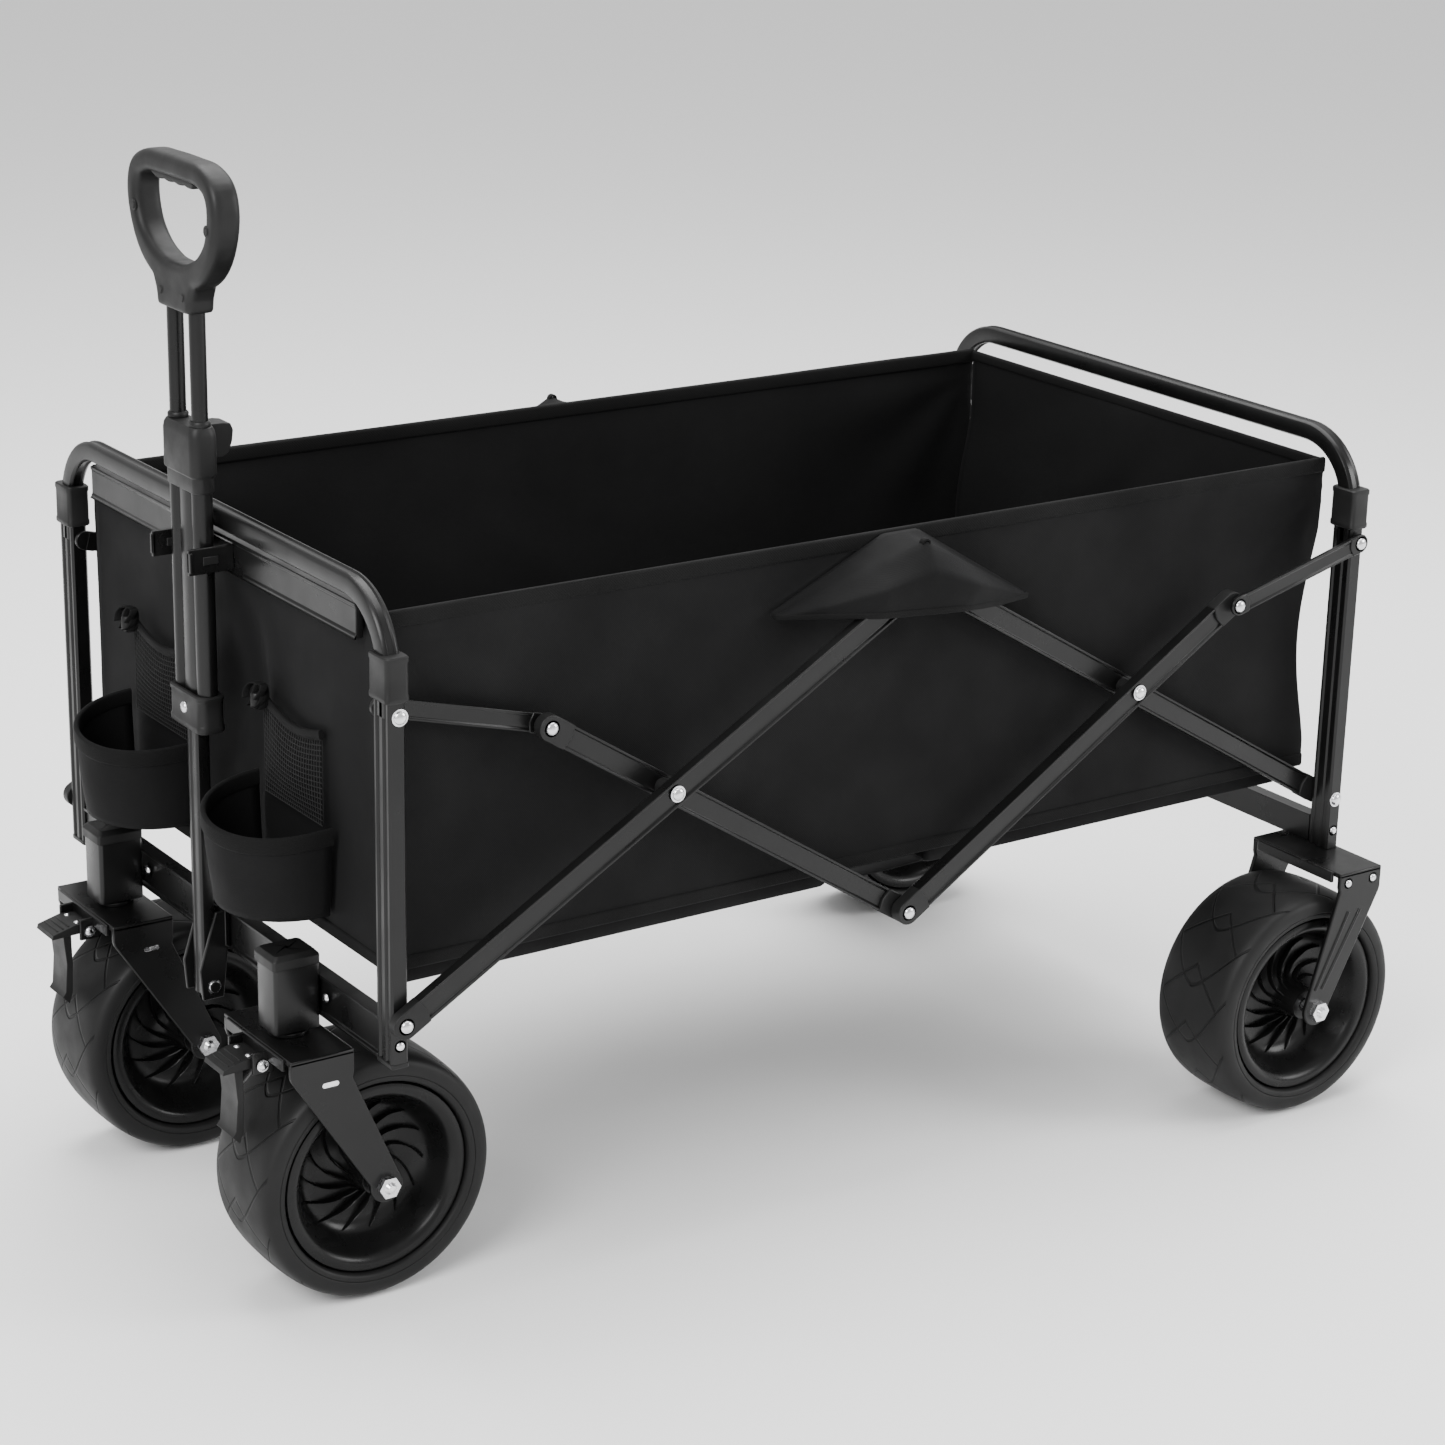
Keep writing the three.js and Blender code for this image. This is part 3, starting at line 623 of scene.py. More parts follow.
# Round spacers that fill the space between two links on one pin.
SPACERS = (
    ("front_crossing", "front_lift_links", -1, "cross", 252.7, 265.6),
    ("apex", "front_lift_links", -1, "apex", 242.4, 265.6),
    ("rear_crossing", "rear_cross_links", 1, "cross", 242.4, 254.0),
)

for hand, side in SIDES:
    for name, body, way, first, second, width in LINKS:
        start, end = mirrored(PIVOT[first], way), mirrored(PIVOT[second], way)
        layer = LAYER[name]
        stay = width == STAY_WIDTH
        shape = bar(start, end, width, layer, side, 0.7 if stay else 1.9, 2 if stay else 4)
        piece(f"{name}_bar_{hand}", shape, body, "steel", [f"{name}_link_{hand}" if not stay
                                                           else f"{name}_{hand}"], 30, bevel=0.35)
        reach = 9 if stay else 17
        caps = joined(end_cap(start, end, width, layer, side, reach),
                      end_cap(end, start, width, layer, side, reach))
        piece(f"{name}_caps_{hand}", caps, body, "steel" if stay else "plastic", sharp=30, bevel=0.7)
    for name, body, way, pivot, face in RIVETS:
        x, z = mirrored(PIVOT[pivot], way)
        piece(f"{name}_rivet_{hand}", dome(x, side * face, z, side), body, "zinc", sharp=50)
    for name, body, way, pivot, near, far in SPACERS:
        x, z = mirrored(PIVOT[pivot], way)
        spacer = rod(6, (x, side * near, z), (x, side * far, z), 24)
        piece(f"{name}_spacer_{hand}", spacer, body, "plastic", sharp=30)
    for name, body, x, z in (("front", "front_frame", -POST_X, 242),
                             ("rear", "rear_frame", POST_X, 233)):
        screw = dome(x, side * (POST_Y + 11), z, side, 3.2, 1.6)
        piece(f"{name}_post_screw_{hand}", screw, body, "zinc", sharp=50)

# ---- Fabric walls ---------------------------------------------------------------------------
def rear_edge(v):
    """Where the rear side wall ends, pulled away from its post below the corner."""
    share = min(max((0.78 - v) / 0.7, 0.0), 1.0)
    return WALL_END - 13 * math.sin(math.pi * share) ** 1.3


def wall_depth(x, z):
    """How far the side wall leans in from its plane, in millimetres."""
    up = (z - WALL_LOW) / (RIM_Z - WALL_LOW)
    slack = math.sin(math.pi * min(max(up, 0), 1)) * (1 - (x / 470) ** 4)
    soft = 2.2 * slack * (0.5 + ripple(x, z * 0.7, 3.1, 150))
    crease = 1.1 * slack * ripple(x + 0.6 * z, z, 7.7, 60)
    corner = 0.0
    for way in (-1, 1):
        reach = math.hypot(x - way * 425, z - 520)
        sweep_angle = math.atan2(520 - z, abs(x - way * 425) + 1)
        corner += 1.6 * math.exp(-((reach - 110) / 90) ** 2) * math.sin(9 * sweep_angle)
    return max(-1.2, soft + crease + corner)


def side_wall(way, side):
    def place(u, v):
        z = WALL_LOW + (RIM_Z - WALL_LOW) * v
        limit = rear_edge(v) if way > 0 else WALL_END
        x = way * u * limit
        return (x, side * (WALL_Y - wall_depth(x, z)), z)
    return sheet_grid(place, 70, 44)


BIND = rounded(2.6, 6.2, 2.2, 3)
for hand, side in SIDES:
    for end, way in ENDS:
        node = f"side_wall_{end}_{hand}"
        wall = cloth(f"{end}_side_cloth_{hand}", side_wall(way, side), None, "fabric", 1.6, [node],
                     rim=False)
        steps = 36
        limit = WALL_END
        rim = [(way * limit * i / steps, side * (WALL_Y - 0.3), RIM_Z - 6) for i in range(steps + 1)]
        rim_section = [(a, b * way) for a, b in BIND]
        rim_piece = piece(f"{end}_side_rim_{hand}", swept(rim_section, rim, (0, 1, 0)), None,
                          "binding", sharp=60)
        hem_end = WALL_END
        hem = []
        for i in range(steps + 1):
            x = way * hem_end * i / steps
            z = WALL_LOW + 5.5
            hem.append((x, side * (WALL_Y - wall_depth(x, z)), z))
        hem_section = [(a * 0.8, b * 0.85) for a, b in BIND]
        hem_piece = piece(f"{end}_side_hem_{hand}", swept(hem_section, hem, (0, 1, 0)), None,
                          "binding", sharp=60)
        for part in (wall, rim_piece, hem_piece):
            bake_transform(part)


def end_wall(way):
    def place(u, v):
        y = -225 + 450 * u
        z = 284 + 252 * v
        edge = math.sin(math.pi * u) ** 0.5 * math.sin(math.pi * v) ** 0.5
        fold = 0.0
        if way < 0:
            lean = y + 26 + 22 * math.sin(math.pi * (1 - v) * 1.1)
            fold = 6.5 * math.exp(-((lean - 8) / 17) ** 2) - 3.0 * math.exp(-((lean + 18) / 13) ** 2)
            fold += 4.0 * math.exp(-((lean - 44) / 20) ** 2)
            fold *= math.sin(math.pi * min(1, 1.15 * v)) ** 0.7
        soft = 5.0 * (0.45 + ripple(y, z, 11.3 + way, 120)) + 1.6 * ripple(y + z, z, 5.5, 45)
        inward = max(-1.5, fold + soft * edge)
        if way > 0:
            inward += (WALL_END - rear_edge(v)) * max(0.0, (abs(y) - 150) / 75) ** 2
        return (way * (END_WALL_X - inward), y, z)
    return sheet_grid(place, 80, 48)


for end, way in ENDS:
    wall = cloth(f"{end}_wall_cloth", end_wall(way), f"{end}_frame", "fabric", 1.6, [f"{end}_wall"])
    x = way * END_WALL_X
    for label, low, high in (("top", 531, RIM_Z - 1), ("bottom", 284, 294)):
        middle, half = (low + high) / 2, (high - low) / 2
        path = [(x, -225 + 450 * i / 20, middle) for i in range(21)]
        piece(f"{end}_wall_{label}_binding", swept(rounded(2.3, half, 2.0, 3), path,
                                                                (1, 0, 0)),
                           f"{end}_frame", "binding", sharp=60)

# Floor: two stiff panels in fabric with piped edges, and a strip between them.
for end, way in ENDS:
    inner, outer = 46, BOARD_HINGE
    middle, half = way * (inner + outer) / 2, (outer - inner) / 2
    layers = []
    for inset, z in ((1.6, 267), (0.2, 268.6), (0, 273), (0.2, 277.4), (1.8, 278.9)):
        layers.append([(a, b, z) for a, b in
                       rounded(half - inset, BOARD_HALF - inset, 5, 4, (middle, 0))])
    piece(f"{end}_floor_panel", rings(layers), f"floor_panel_{end}", "fabric",
          [f"floor_board_{end}"], 40)
    seam = [[(a, b, z) for a, b in rounded(half - 9 + d, BOARD_HALF - 9 + d, 6, 5, (middle, 0))]
            for d, z in ((0, 278.7), (0.4, 279.3), (7.6, 279.3), (8.6, 278.4))]
    piece(f"{end}_floor_piping", rings(seam, capped=False), f"floor_panel_{end}", "binding", sharp=60)

strip_shape = sheet_grid(lambda u, v: (-45 + 90 * u, -221 + 442 * v,
                                       270 - 1.2 * math.sin(math.pi * u)), 16, 40)
floor_cloth = cloth("floor_fold_cloth", strip_shape, "floor_middle", "fabric", 1.8, ["floor_strip"])
strap = [(0, y, 272 + 11 * math.cos(math.pi * y / 130) ** 2) for y in range(-65, 66, 5)]
piece("floor_lift_strap", swept(rounded(12.5, 0.9, 0.7, 2), strap, (1, 0, 0)), "floor_middle",
      "binding", sharp=50)

# ---- Flaps over the top of the scissors --------------------------------------------------------
FLAP_TOP = ((-112, 236, 492), (4, 262, 538), (122, 236, 474))
FLAP_LOW = ((-112, 236, 492), (-80, 260, 494), (-48, 277, 494), (-9, 280, 492), (30, 280, 489),
            (76, 262, 482), (122, 236, 474))


def along(points, t):
    """A point at fraction t of a polyline, by the number of its pieces."""
    spot = t * (len(points) - 1)
    i = min(int(spot), len(points) - 2)
    a, b = Vector(points[i]), Vector(points[i + 1])
    return a.lerp(b, spot - i)


def flap_sheet(side):
    def place(u, v):
        top = Vector(along(FLAP_TOP, u))
        share = (top.x + 112) / 234
        low = Vector(along(FLAP_LOW, share))
        spot = top.lerp(low, v)
        spot.y = top.y + (low.y - top.y) * min(1.0, 2.6 * v)
        puff = math.sin(math.pi * v) * math.sin(math.pi * share)
        radial = math.sin(13 * share) * 1.3 * math.sin(math.pi * min(1, v * 1.3))
        spot.y += 1.2 * puff + radial * (1 if share < 0.9 else 0)
        return (spot.x, side * min(spot.y, 281.5), spot.z)
    return sheet_grid(place, 60, 14)


def flap_roof(side):
    def place(u, v):
        top = Vector(along(FLAP_TOP, u))
        wall = Vector((top.x, 231.2, min(RIM_Z - 2, top.z + 0.3 * (top.y - 231))))
        spot = wall.lerp(top, v)
        spot.z -= 1.5 * math.sin(math.pi * v)
        return (spot.x, side * spot.y, spot.z)
    return sheet_grid(place, 60, 8)


for hand, side in SIDES:
    cover = joined(flap_sheet(side), flap_roof(side))
    flap = cloth(f"scissor_flap_{hand}", cover, "rim_flaps", "fabric", 1.5, [f"apex_flap_{hand}"])
    edge = [along(FLAP_LOW, i / 40) for i in range(41)]
    edge = [(p.x, side * min(p.y + 0.3, 281.6), p.z) for p in edge]
    hem_piece = piece(f"scissor_flap_hem_{hand}", swept(rounded(1.5, 2.6, 1.2, 3), edge, (0, 1, 0)),
                      "rim_flaps", "binding", sharp=60)
    loop = [(4 + 3 * math.sin(t), side * 260, 537 + 3 * math.cos(t))
            for t in (math.radians(a) for a in range(-150, 151, 20))]
    tab = piece(f"scissor_flap_loop_{hand}", swept(rounded(2.6, 0.8, 0.6, 2), loop, (0, 1, 0)),
                "rim_flaps", "binding", sharp=50)

# ---- Cup pockets ------------------------------------------------------------------------------
CUP = {"y": 108, "half": 56.5, "back": -433, "depth": 65, "low": 302, "rim": 377}


def cup_ring(turn):
    """(x, y) on the half-round pocket; the turn runs from -90 to 90 degrees."""
    return (CUP["back"] - CUP["depth"] * max(0.0, math.cos(turn)) ** 0.8,
            CUP["half"] * math.sin(turn))


def cup_rim(turn):
    return CUP["rim"] - 7 * math.cos(turn) + 5 * math.sin(turn) - 4


def cup_shell(centre):
    def place(u, v):
        turn = math.radians(-90 + 180 * u)
        x, y = cup_ring(turn)
        top = cup_rim(turn)
        z = CUP["low"] + (top - CUP["low"]) * v
        taper = 1 - 0.10 * (1 - v) ** 1.5 + 0.015 * ripple(100 * u, z, 2.2 + centre, 30)
        return (CUP["back"] + (x - CUP["back"]) * taper, centre + y * taper, z)
    return sheet_grid(place, 44, 16)


def cup_floor(centre):
    def place(u, v):
        turn = math.radians(-90 + 180 * u)
        x, y = cup_ring(turn)
        scale = 0.9 * v
        return (CUP["back"] + (x - CUP["back"]) * scale, centre + y * scale,
                CUP["low"] - 1.6 + 1.6 * v ** 4)
    return sheet_grid(place, 44, 8)


def net_grid(centre):
    def place(u, v):
        y = -44 + 88 * u
        top = 434 - 9 * math.sin(math.pi * u) + 4 * u
        z = 366 + (top - 366) * v
        return (-433.4 - 3.5 * math.sin(math.pi * u) * math.sin(math.pi * v), centre + y, z)
    return sheet_grid(place, 26, 17)


def gathered_bow(centre):
    """The puckered corner of the net: three small folds of its edging."""
    folds = []
    for tilt, size, shift in ((-35, 9, 0), (15, 11, 3), (60, 8, -3)):
        path = []
        for step in range(-140, 141, 20):
            a = math.radians(step)
            radial, outward = size * math.sin(a), size * (1 - math.cos(a)) * -0.45
            lean = math.radians(tilt)
            path.append((-436 + outward, centre + 40 + shift + radial * math.cos(lean),
                         440 + radial * math.sin(lean) + size * 0.6 * math.cos(a)))
        folds.append(swept(rounded(3.0, 0.8, 0.6, 2), path, (1, 0, 0)))
    return joined(*folds)


for hand, side in SIDES:
    centre = side * CUP["y"]
    pocket = cloth(f"cup_pocket_cloth_{hand}", joined(cup_shell(centre), cup_floor(centre)),
                   "front_frame", "fabric", 1.8, [f"cup_pocket_{hand}"])
    lip = []
    for step in range(-90, 91, 6):
        turn = math.radians(step)
        x, y = cup_ring(turn)
        lip.append((x, centre + y, cup_rim(turn) - 5.5))
    band = []
    for i, spot in enumerate(lip):
        before, after = Vector(lip[max(i - 1, 0)]), Vector(lip[min(i + 1, len(lip) - 1)])
        run = (after - before).normalized()
        outward = Vector((run.y, -run.x, 0)).normalized()
        band.append([tuple(Vector(spot) + outward * a + Vector((0, 0, b)))
                     for a, b in rounded(2.1, 6.4, 1.9, 3)])
    rim_band = piece(f"cup_pocket_binding_{hand}", rings(band), "front_frame", "binding", sharp=60)
    net = piece(f"cup_net_{hand}", net_grid(centre), "front_frame", "net", sharp=180)
    wires = net.modifiers.new("mesh", "WIREFRAME")
    wires.thickness = 0.9 * MM
    wires.use_replace = True
    top = [(-434, centre - 44 + 88 * u,
            434 - 9 * math.sin(math.pi * u) + 4 * u) for u in (i / 24 for i in range(25))]
    edging = piece(f"cup_net_edging_{hand}", swept(rounded(1.8, 3.4, 1.6, 3), top, (1, 0, 0)),
                   "front_frame", "binding", sharp=60)
    bow = piece(f"cup_net_gather_{hand}", gathered_bow(centre), "front_frame", "binding", sharp=60)
    lock = rings([[(-441 + a, centre + 40 + b, z) for a, b in circle(r, 20)]
                  for r, z in ((3.4, 431), (4.6, 432.2), (4.6, 441), (3.6, 442.4))])
    toggle = piece(f"cup_cord_lock_{hand}", lock, "front_frame", "plastic", sharp=40)

# ---- Wheels -----------------------------------------------------------------------------------
def smooth_profile(points, steps=4):
    """Catmull-Rom points through a profile."""
    made = []
    for i in range(len(points) - 1):
        p0, p1 = Vector(points[max(i - 1, 0)]), Vector(points[i])
        p2, p3 = Vector(points[i + 1]), Vector(points[min(i + 2, len(points) - 1)])
        for j in range(steps):
            t = j / steps
            made.append(tuple(0.5 * (2 * p1 + (p2 - p0) * t + (2 * p0 - 5 * p1 + 4 * p2 - p3) * t * t
                                     + (3 * p1 - p0 - 3 * p2 + p3) * t ** 3)))
    return made + [tuple(points[-1])]


TYRE_HALF = [(74.2, 36.5), (75.5, 39.4), (79, 40.6), (79.6, 40.0), (80.2, 40.8), (84, 40.9),
             (88.5, 39.6), (91.5, 36.4), (93.4, 30), (94.6, 18), (95, 0)]


def tyre(name, x, y, body, node):
    half = smooth_profile(TYRE_HALF, 3)
    profile = half + [(r, -h) for r, h in reversed(half[:-1])]
    sides = 144
    loops = []
    for i in range(sides):
        turn = 2 * math.pi * i / sides
        a, b = math.cos(turn), math.sin(turn)
        loops.append([(x + r * a, y + h, WHEEL_Z + r * b) for r, h in profile])
    count = len(profile)
    points = [p for loop in loops for p in loop]
    faces = []
    for i in range(sides):
        here, there = i * count, ((i + 1) % sides) * count
        for j in range(count - 1):
            faces.append((here + j, here + j + 1, there + j + 1, there + j))
        faces.append((here + count - 1, here, there, there + count - 1))
    mesh = bpy.data.meshes.new(name)
    mesh.from_pydata([at(*p) for p in points], [], faces)
    layer = mesh.uv_layers.new(name="tread")
    for polygon in mesh.polygons:
        ring = polygon.index // count
        for loop_index in polygon.loop_indices:
            vertex = mesh.loops[loop_index].vertex_index
            i, j = divmod(vertex, count)
            round_way = (ring + 1 if i != ring else ring) / sides
            radius, height = profile[j]
            across = 0.5 + (height / 38.0) / 4 if radius > 84 else (1.0 if height > 0 else 0.0)
            layer.data[loop_index].uv = (round_way, across)
    turn_outward(mesh)
    return finished(name, mesh, body, "tyre", [node], 60)


HUB_HALF = [(5.7, 37.5), (11.2, 37.7), (12.4, 36.4), (13.6, 25), (17, 15.5), (27, 10), (42, 9.5),
            (51, 14), (57.5, 25), (61.5, 33), (64.6, 36.4), (68.4, 37.6), (72.2, 36.8)]
FINS = 14


def web_height(radius):
    for (r0, h0), (r1, h1) in zip(HUB_HALF[3:], HUB_HALF[4:]):
        if radius <= r1:
            return h0 + (h1 - h0) * max(0.0, (radius - r0) / (r1 - r0))
    return HUB_HALF[-1][1]


def fin(x, y, start, way):
    """A thin rib that curls outward over the dish."""
    loops = []
    steps = 12
    for i in range(steps + 1):
        t = i / steps
        radius = 14 + 36 * t
        turn = start + way * 1.0 * t ** 0.8
        rise = 4.2 * math.sin(math.pi * min(1, 0.16 + 0.8 * t)) + 0.8
        thick = 0.75
        low, high = web_height(radius) - 1.5, web_height(radius) + rise
        aside = (-math.sin(turn) * thick, math.cos(turn) * thick)
        centre = (x + radius * math.cos(turn), WHEEL_Z + radius * math.sin(turn))
        loops.append([
            (centre[0] + s * aside[0] * k, y + way * h, centre[1] + s * aside[1] * k)
            for s, h, k in ((-1, low, 1.3), (-1, high - 0.6, 0.9), (0, high, 0), (1, high - 0.6, 0.9),
                            (1, low, 1.3))
        ])
    return rings(loops)


def hub(x, y):
    outer = smooth_profile(HUB_HALF, 3)
    profile = outer + [(73.0, 35.0), (73.0, -35.0)] + [(r, -h) for r, h in reversed(outer)]
    disc = turned(profile, (x, y, WHEEL_Z), "y", 80, closed=True)
    fins = [fin(x, y, 2 * math.pi * n / FINS, way) for n in range(FINS) for way in (-1, 1)]
    return joined(disc, *fins)


WHEELS = [(f"front_wheel_{hand}", f"front_{hand}", CASTER["axle"], side * CASTER["y"])
          for hand, side in SIDES]
WHEELS += [(f"rear_wheel_{hand}", f"rear_{hand}", REAR["axle"], side * REAR["y"])
           for hand, side in SIDES]
for body, place, x, y in WHEELS:
    tyre(f"{place}_tyre", x, y, body, f"tyre_{place}")
    piece(f"{place}_wheel", hub(x, y), body, "wheel", [f"wheel_{place}"], 42)


# ---- Forks ------------------------------------------------------------------------------------
def leg_outline(front, back, top, axle):
    points = [(front, top), (front, top - 11), (front + 1.2, top - 15)]
    points += arc((axle, WHEEL_Z), 13, 170, 370, 18)
    points += [(back - 1.2, top - 21), (back, top - 17), (back, top)]
    return points


def folded_fork(x, y, axle, leg, top, front, back):
    """A pressed plate with both legs folded down and a lip along its front edge."""
    outline = leg_outline(x + front, x + back, top - 1, axle)
    legs = [prism(outline, "y", y + s * (leg - 2), y + s * (leg + 2)) for s in (-1, 1)]
    plate = block((x + front, x + back), (y - leg - 2, y + leg + 2), (top - 4, top))
    lip = block((x + front - 2.5, x + front + 0.5), (y - leg + 6, y + leg - 6), (top - 9, top))
    return legs, joined(plate, lip)


def axle_set(x, y, leg):
    shaft = rod(5, (x, y - leg - 3, WHEEL_Z), (x, y + leg + 3, WHEEL_Z), 24)
    return joined(shaft, *(hexagon(x, y + s * (leg + 2), WHEEL_Z, s, 8.6, 5.2) for s in (-1, 1)))


def fork_beads(x, axle, y, leg, top):
    """Raised lines down the middle of each leg."""
    made = []
    for s in (-1, 1):
        face = y + s * (leg + 2)
        for shift in (-3.5, 3.5):
            upper, lower = (x + shift * 1.8, face, top - 34), (axle + shift, face, WHEEL_Z + 18)
            made.append(rod(1.3, upper, lower, 10))
    return joined(*made)


for hand, side in SIDES:
    # Casters.
    y = side * CASTER["y"]
    body = f"caster_{hand}"
    legs, plate = folded_fork(CASTER["x"], y, CASTER["axle"], CASTER["leg"], CASTER["plate"], -25, 25)
    ears = [block((-499, -483), sorted((y + s * 17, y + s * 20)), (196, 213)) for s in (-1, 1)]
    stem = joined(rod(6.4, (CASTER["x"], y, 213), (CASTER["x"], y, 257), 24),
                  rod(15, (CASTER["x"], y, 214.8), (CASTER["x"], y, 218.4), 32))
    piece(f"caster_yoke_{hand}", joined(*legs, plate, *ears, stem), body, "steel",
          [f"caster_fork_{hand}"], 32, bevel=0.9)
    piece(f"caster_axle_{hand}", axle_set(CASTER["axle"], y, CASTER["leg"]), body, "zinc", sharp=32)
    slot_shape = [(CASTER["x"] + 6 + a, 192 + b) for a, b in rounded(6.5, 1.9, 1.8, 4)]
    slots = [prism(slot_shape, "y", y + s * (CASTER["leg"] + 1.4), y + s * (CASTER["leg"] + 2.25))
             for s in (-1, 1)]
    piece(f"caster_slot_{hand}", joined(*slots), body, "zinc", sharp=32)
    tube = [[(-460.2 + a, y + b, z) for a, b in rounded(17.8, 14.5, 3, 3)] for z in (219, 272)]
    piece(f"caster_post_{hand}", rings(tube), "front_frame", "steel", [f"caster_housing_{hand}"], 32,
          bevel=0.6)
    cap = [[(-460.9 + a, y + b, z) for a, b in rounded(hx, hy, 3, 3)]
           for hx, hy, z in ((18.6, 16, 268.5), (18.6, 16, 275.5), (15.5, 13, 279), (2.2, 2.2, 279))]
    piece(f"caster_post_cap_{hand}", rings(cap), "front_frame", "plastic", sharp=30, bevel=0.5)
    bolt = [(0.01, -2.0), (2.6, -1.8), (3.4, -0.9), (3.6, 0)]
    bolts = [turned(bolt, (-441.9, y + s * 22, 244), "x", 20) for s in (-1, 1)]
    piece(f"caster_post_bolts_{hand}", joined(*bolts), "front_frame", "zinc", sharp=50)

    # Brakes: a foot plate that tips a shoe onto the tyre.
    body = f"brake_{hand}"
    foot = [(-488, 200.6), (-488, 206.6), (-500, 207.8), (-519, 202.8), (-520, 199.2), (-510, 199.6)]
    shoe = [(-510.3, 201), (-503.6, 201), (-503.2, 176), (-504.2, 152), (-507.2, 143.4), (-512.6, 149),
            (-509.8, 153), (-508, 176)]
    pad = prism(foot, "y", y - 15, y + 15)
    lines = [(-505 - 4.5 * i, 206.3 - 1.2 * i) for i in range(3)]
    tread = [rod(0.9, (x, y - 12, z), (x, y + 12, z), 10) for x, z in lines]
    pivot = rod(3, (-492, y - 21.5, 203), (-492, y + 21.5, 203), 18)
    piece(f"brake_foot_{hand}", joined(pad, prism(shoe, "y", y - 13, y + 13), pivot, *tread), body,
          "plastic", [f"brake_pedal_{hand}"], 34, bevel=0.8)
    screws = [dome(-492, y + s * 21.5, 203, s, 3.2, 1.6) for s in (-1, 1)]
    screw = [(0.01, 1.6), (1.8, 1.4), (2.6, 0.3), (2.6, -1)]
    screws += [turned(screw, (-497, y + s * 9, 207.2), "z", 18) for s in (-1, 1)]
    piece(f"brake_screws_{hand}", joined(*screws), body, "zinc", sharp=50)

    # Fixed rear forks.
    y = side * REAR["y"]
    body = "rear_frame"
    legs, plate = folded_fork(REAR["x"], y, REAR["axle"], REAR["leg"], REAR["plate"], -18, 27)
    piece(f"rear_yoke_{hand}", joined(*legs, plate), body, "steel", [f"rear_fork_{hand}"], 32,
          bevel=0.9)
    piece(f"rear_yoke_beads_{hand}", fork_beads(REAR["x"], REAR["axle"], y, REAR["leg"], REAR["plate"]),
          body, "steel", sharp=60)
    piece(f"rear_axle_{hand}", axle_set(REAR["axle"], y, REAR["leg"]), body, "zinc", sharp=32)
    rivets = [dome(REAR["x"] + dx, y + s * (REAR["leg"] + 2), REAR["plate"] - 9, s, 3.2, 1.8)
              for s in (-1, 1) for dx in (-9, 18)]
    piece(f"rear_yoke_rivets_{hand}", joined(*rivets), body, "zinc", sharp=50)

# ---- Pull handle ------------------------------------------------------------------------------
strap_outline = [(-442.3, 258), (-442.3, 230), (-447, 190), (-464, 190), (-466, 214), (-452, 258)]
straps = [prism(strap_outline, "y", s * 12, s * 15) for s in (-1, 1)]
back_plate = block((-445, -442.3), (-15, 15), (230, 258))
piece("handle_foot", joined(*straps, back_plate), "front_frame", "steel", ["handle_foot_bracket"], 32,
      bevel=0.8)
piece("handle_foot_bolts", joined(
    *(turned([(0.01, -2.4), (2.6, -2.1), (3.4, 0)], (-445, s * 7, 250), "x", 18) for s in (-1, 1))),
    "front_frame", "zinc", sharp=50)

lower_ring = [(HANDLE_X + b, a) for a, b in grooved(9, 5.5, 2.8, 2.6, 1.1)]
piece("handle_lower_stage", joined(
    rings([[(a, b, z) for a, b in lower_ring] for z in (190, 530)]),
    rod(4, (HANDLE_X, -17.5, 200), (HANDLE_X, 17.5, 200), 20)), "handle_base", "steel",
    ["handle_lower_tube"], 30, bevel=0.3)
piece("handle_pivot_heads", joined(*(dome(HANDLE_X, s * 15.4, 200, s, 4.2, 2.0) for s in (-1, 1))),
      "handle_base", "zinc", sharp=50)


def twin_ring():
    top = [(a, b) for a, b in arc((0, BARREL), 7.5, -58, 238, 18)]
    low = [(-a, -b) for a, b in top]
    return top + [(-6.3, 5), (-6.3, -5)] + low + [(6.3, -5), (6.3, 5)]


barrels = rings([[(HANDLE_X + a, b, z) for a, b in twin_ring()] for z in (403, 618)])
piece("handle_middle_stage", barrels,
      "handle_middle", "steel", ["handle_middle_tube"], 30)


def collar(levels, radius=7):
    return rings([[(HANDLE_X + a, b, z) for a, b in rounded(hx, hy, min(radius, hx - 0.5), 6)]
                  for hx, hy, z in levels])


CLAMP = ((10.2, 26.2, 401), (11, 27, 402.2), (11, 27, 406), (10.4, 26.4, 407.2),
         (10.4, 26.4, 424.5), (11, 27, 425.6), (11, 27, 428), (9.8, 25.8, 429))
ROOM = 7.8  # half the depth of the clamp's opening, round the two barrels


def ring_loop(half_x, half_y, radius, z):
    return [(HANDLE_X + a, b, z) for a, b in rounded(half_x, half_y, radius, 6)]


clamp_loops = [ring_loop(hx, hy, 7, z) for hx, hy, z in CLAMP]
clamp_loops += [ring_loop(ROOM, BARREL + ROOM, ROOM - 0.1, z) for z in (429, 401)]
piece("handle_lower_clamp", rings(clamp_loops, closed=True), "handle_middle", "plastic",
      ["handle_clamp"], 34)
piece("handle_clamp_rivet", turned([(0.01, -2.2), (3.0, -1.9), (4.2, -0.9), (4.4, 0.4)],
                                   (HANDLE_X - 10.4, 0, 416), "x", 22),
      "handle_middle", "zinc", sharp=50)
tab = [(HANDLE_X + a, b) for a, b in ((9, 600), (21, 600), (26, 603), (29, 611), (30, 619), (28, 624),
                                      (22, 625), (9, 625))]
top_collar = collar(((8.0, 25.5, 579), (8.4, 25.9, 580), (8.4, 25.9, 590.5), (10.2, 26.2, 591.4),
                     (10.5, 26.5, 593), (10.5, 26.5, 620), (9.9, 25.9, 624), (8.6, 24.6, 627)))
piece("handle_top_collar", joined(top_collar, prism(tab, "y", -9, 9)), "handle_middle", "plastic",
      ["handle_collar"], 34, bevel=0.8)

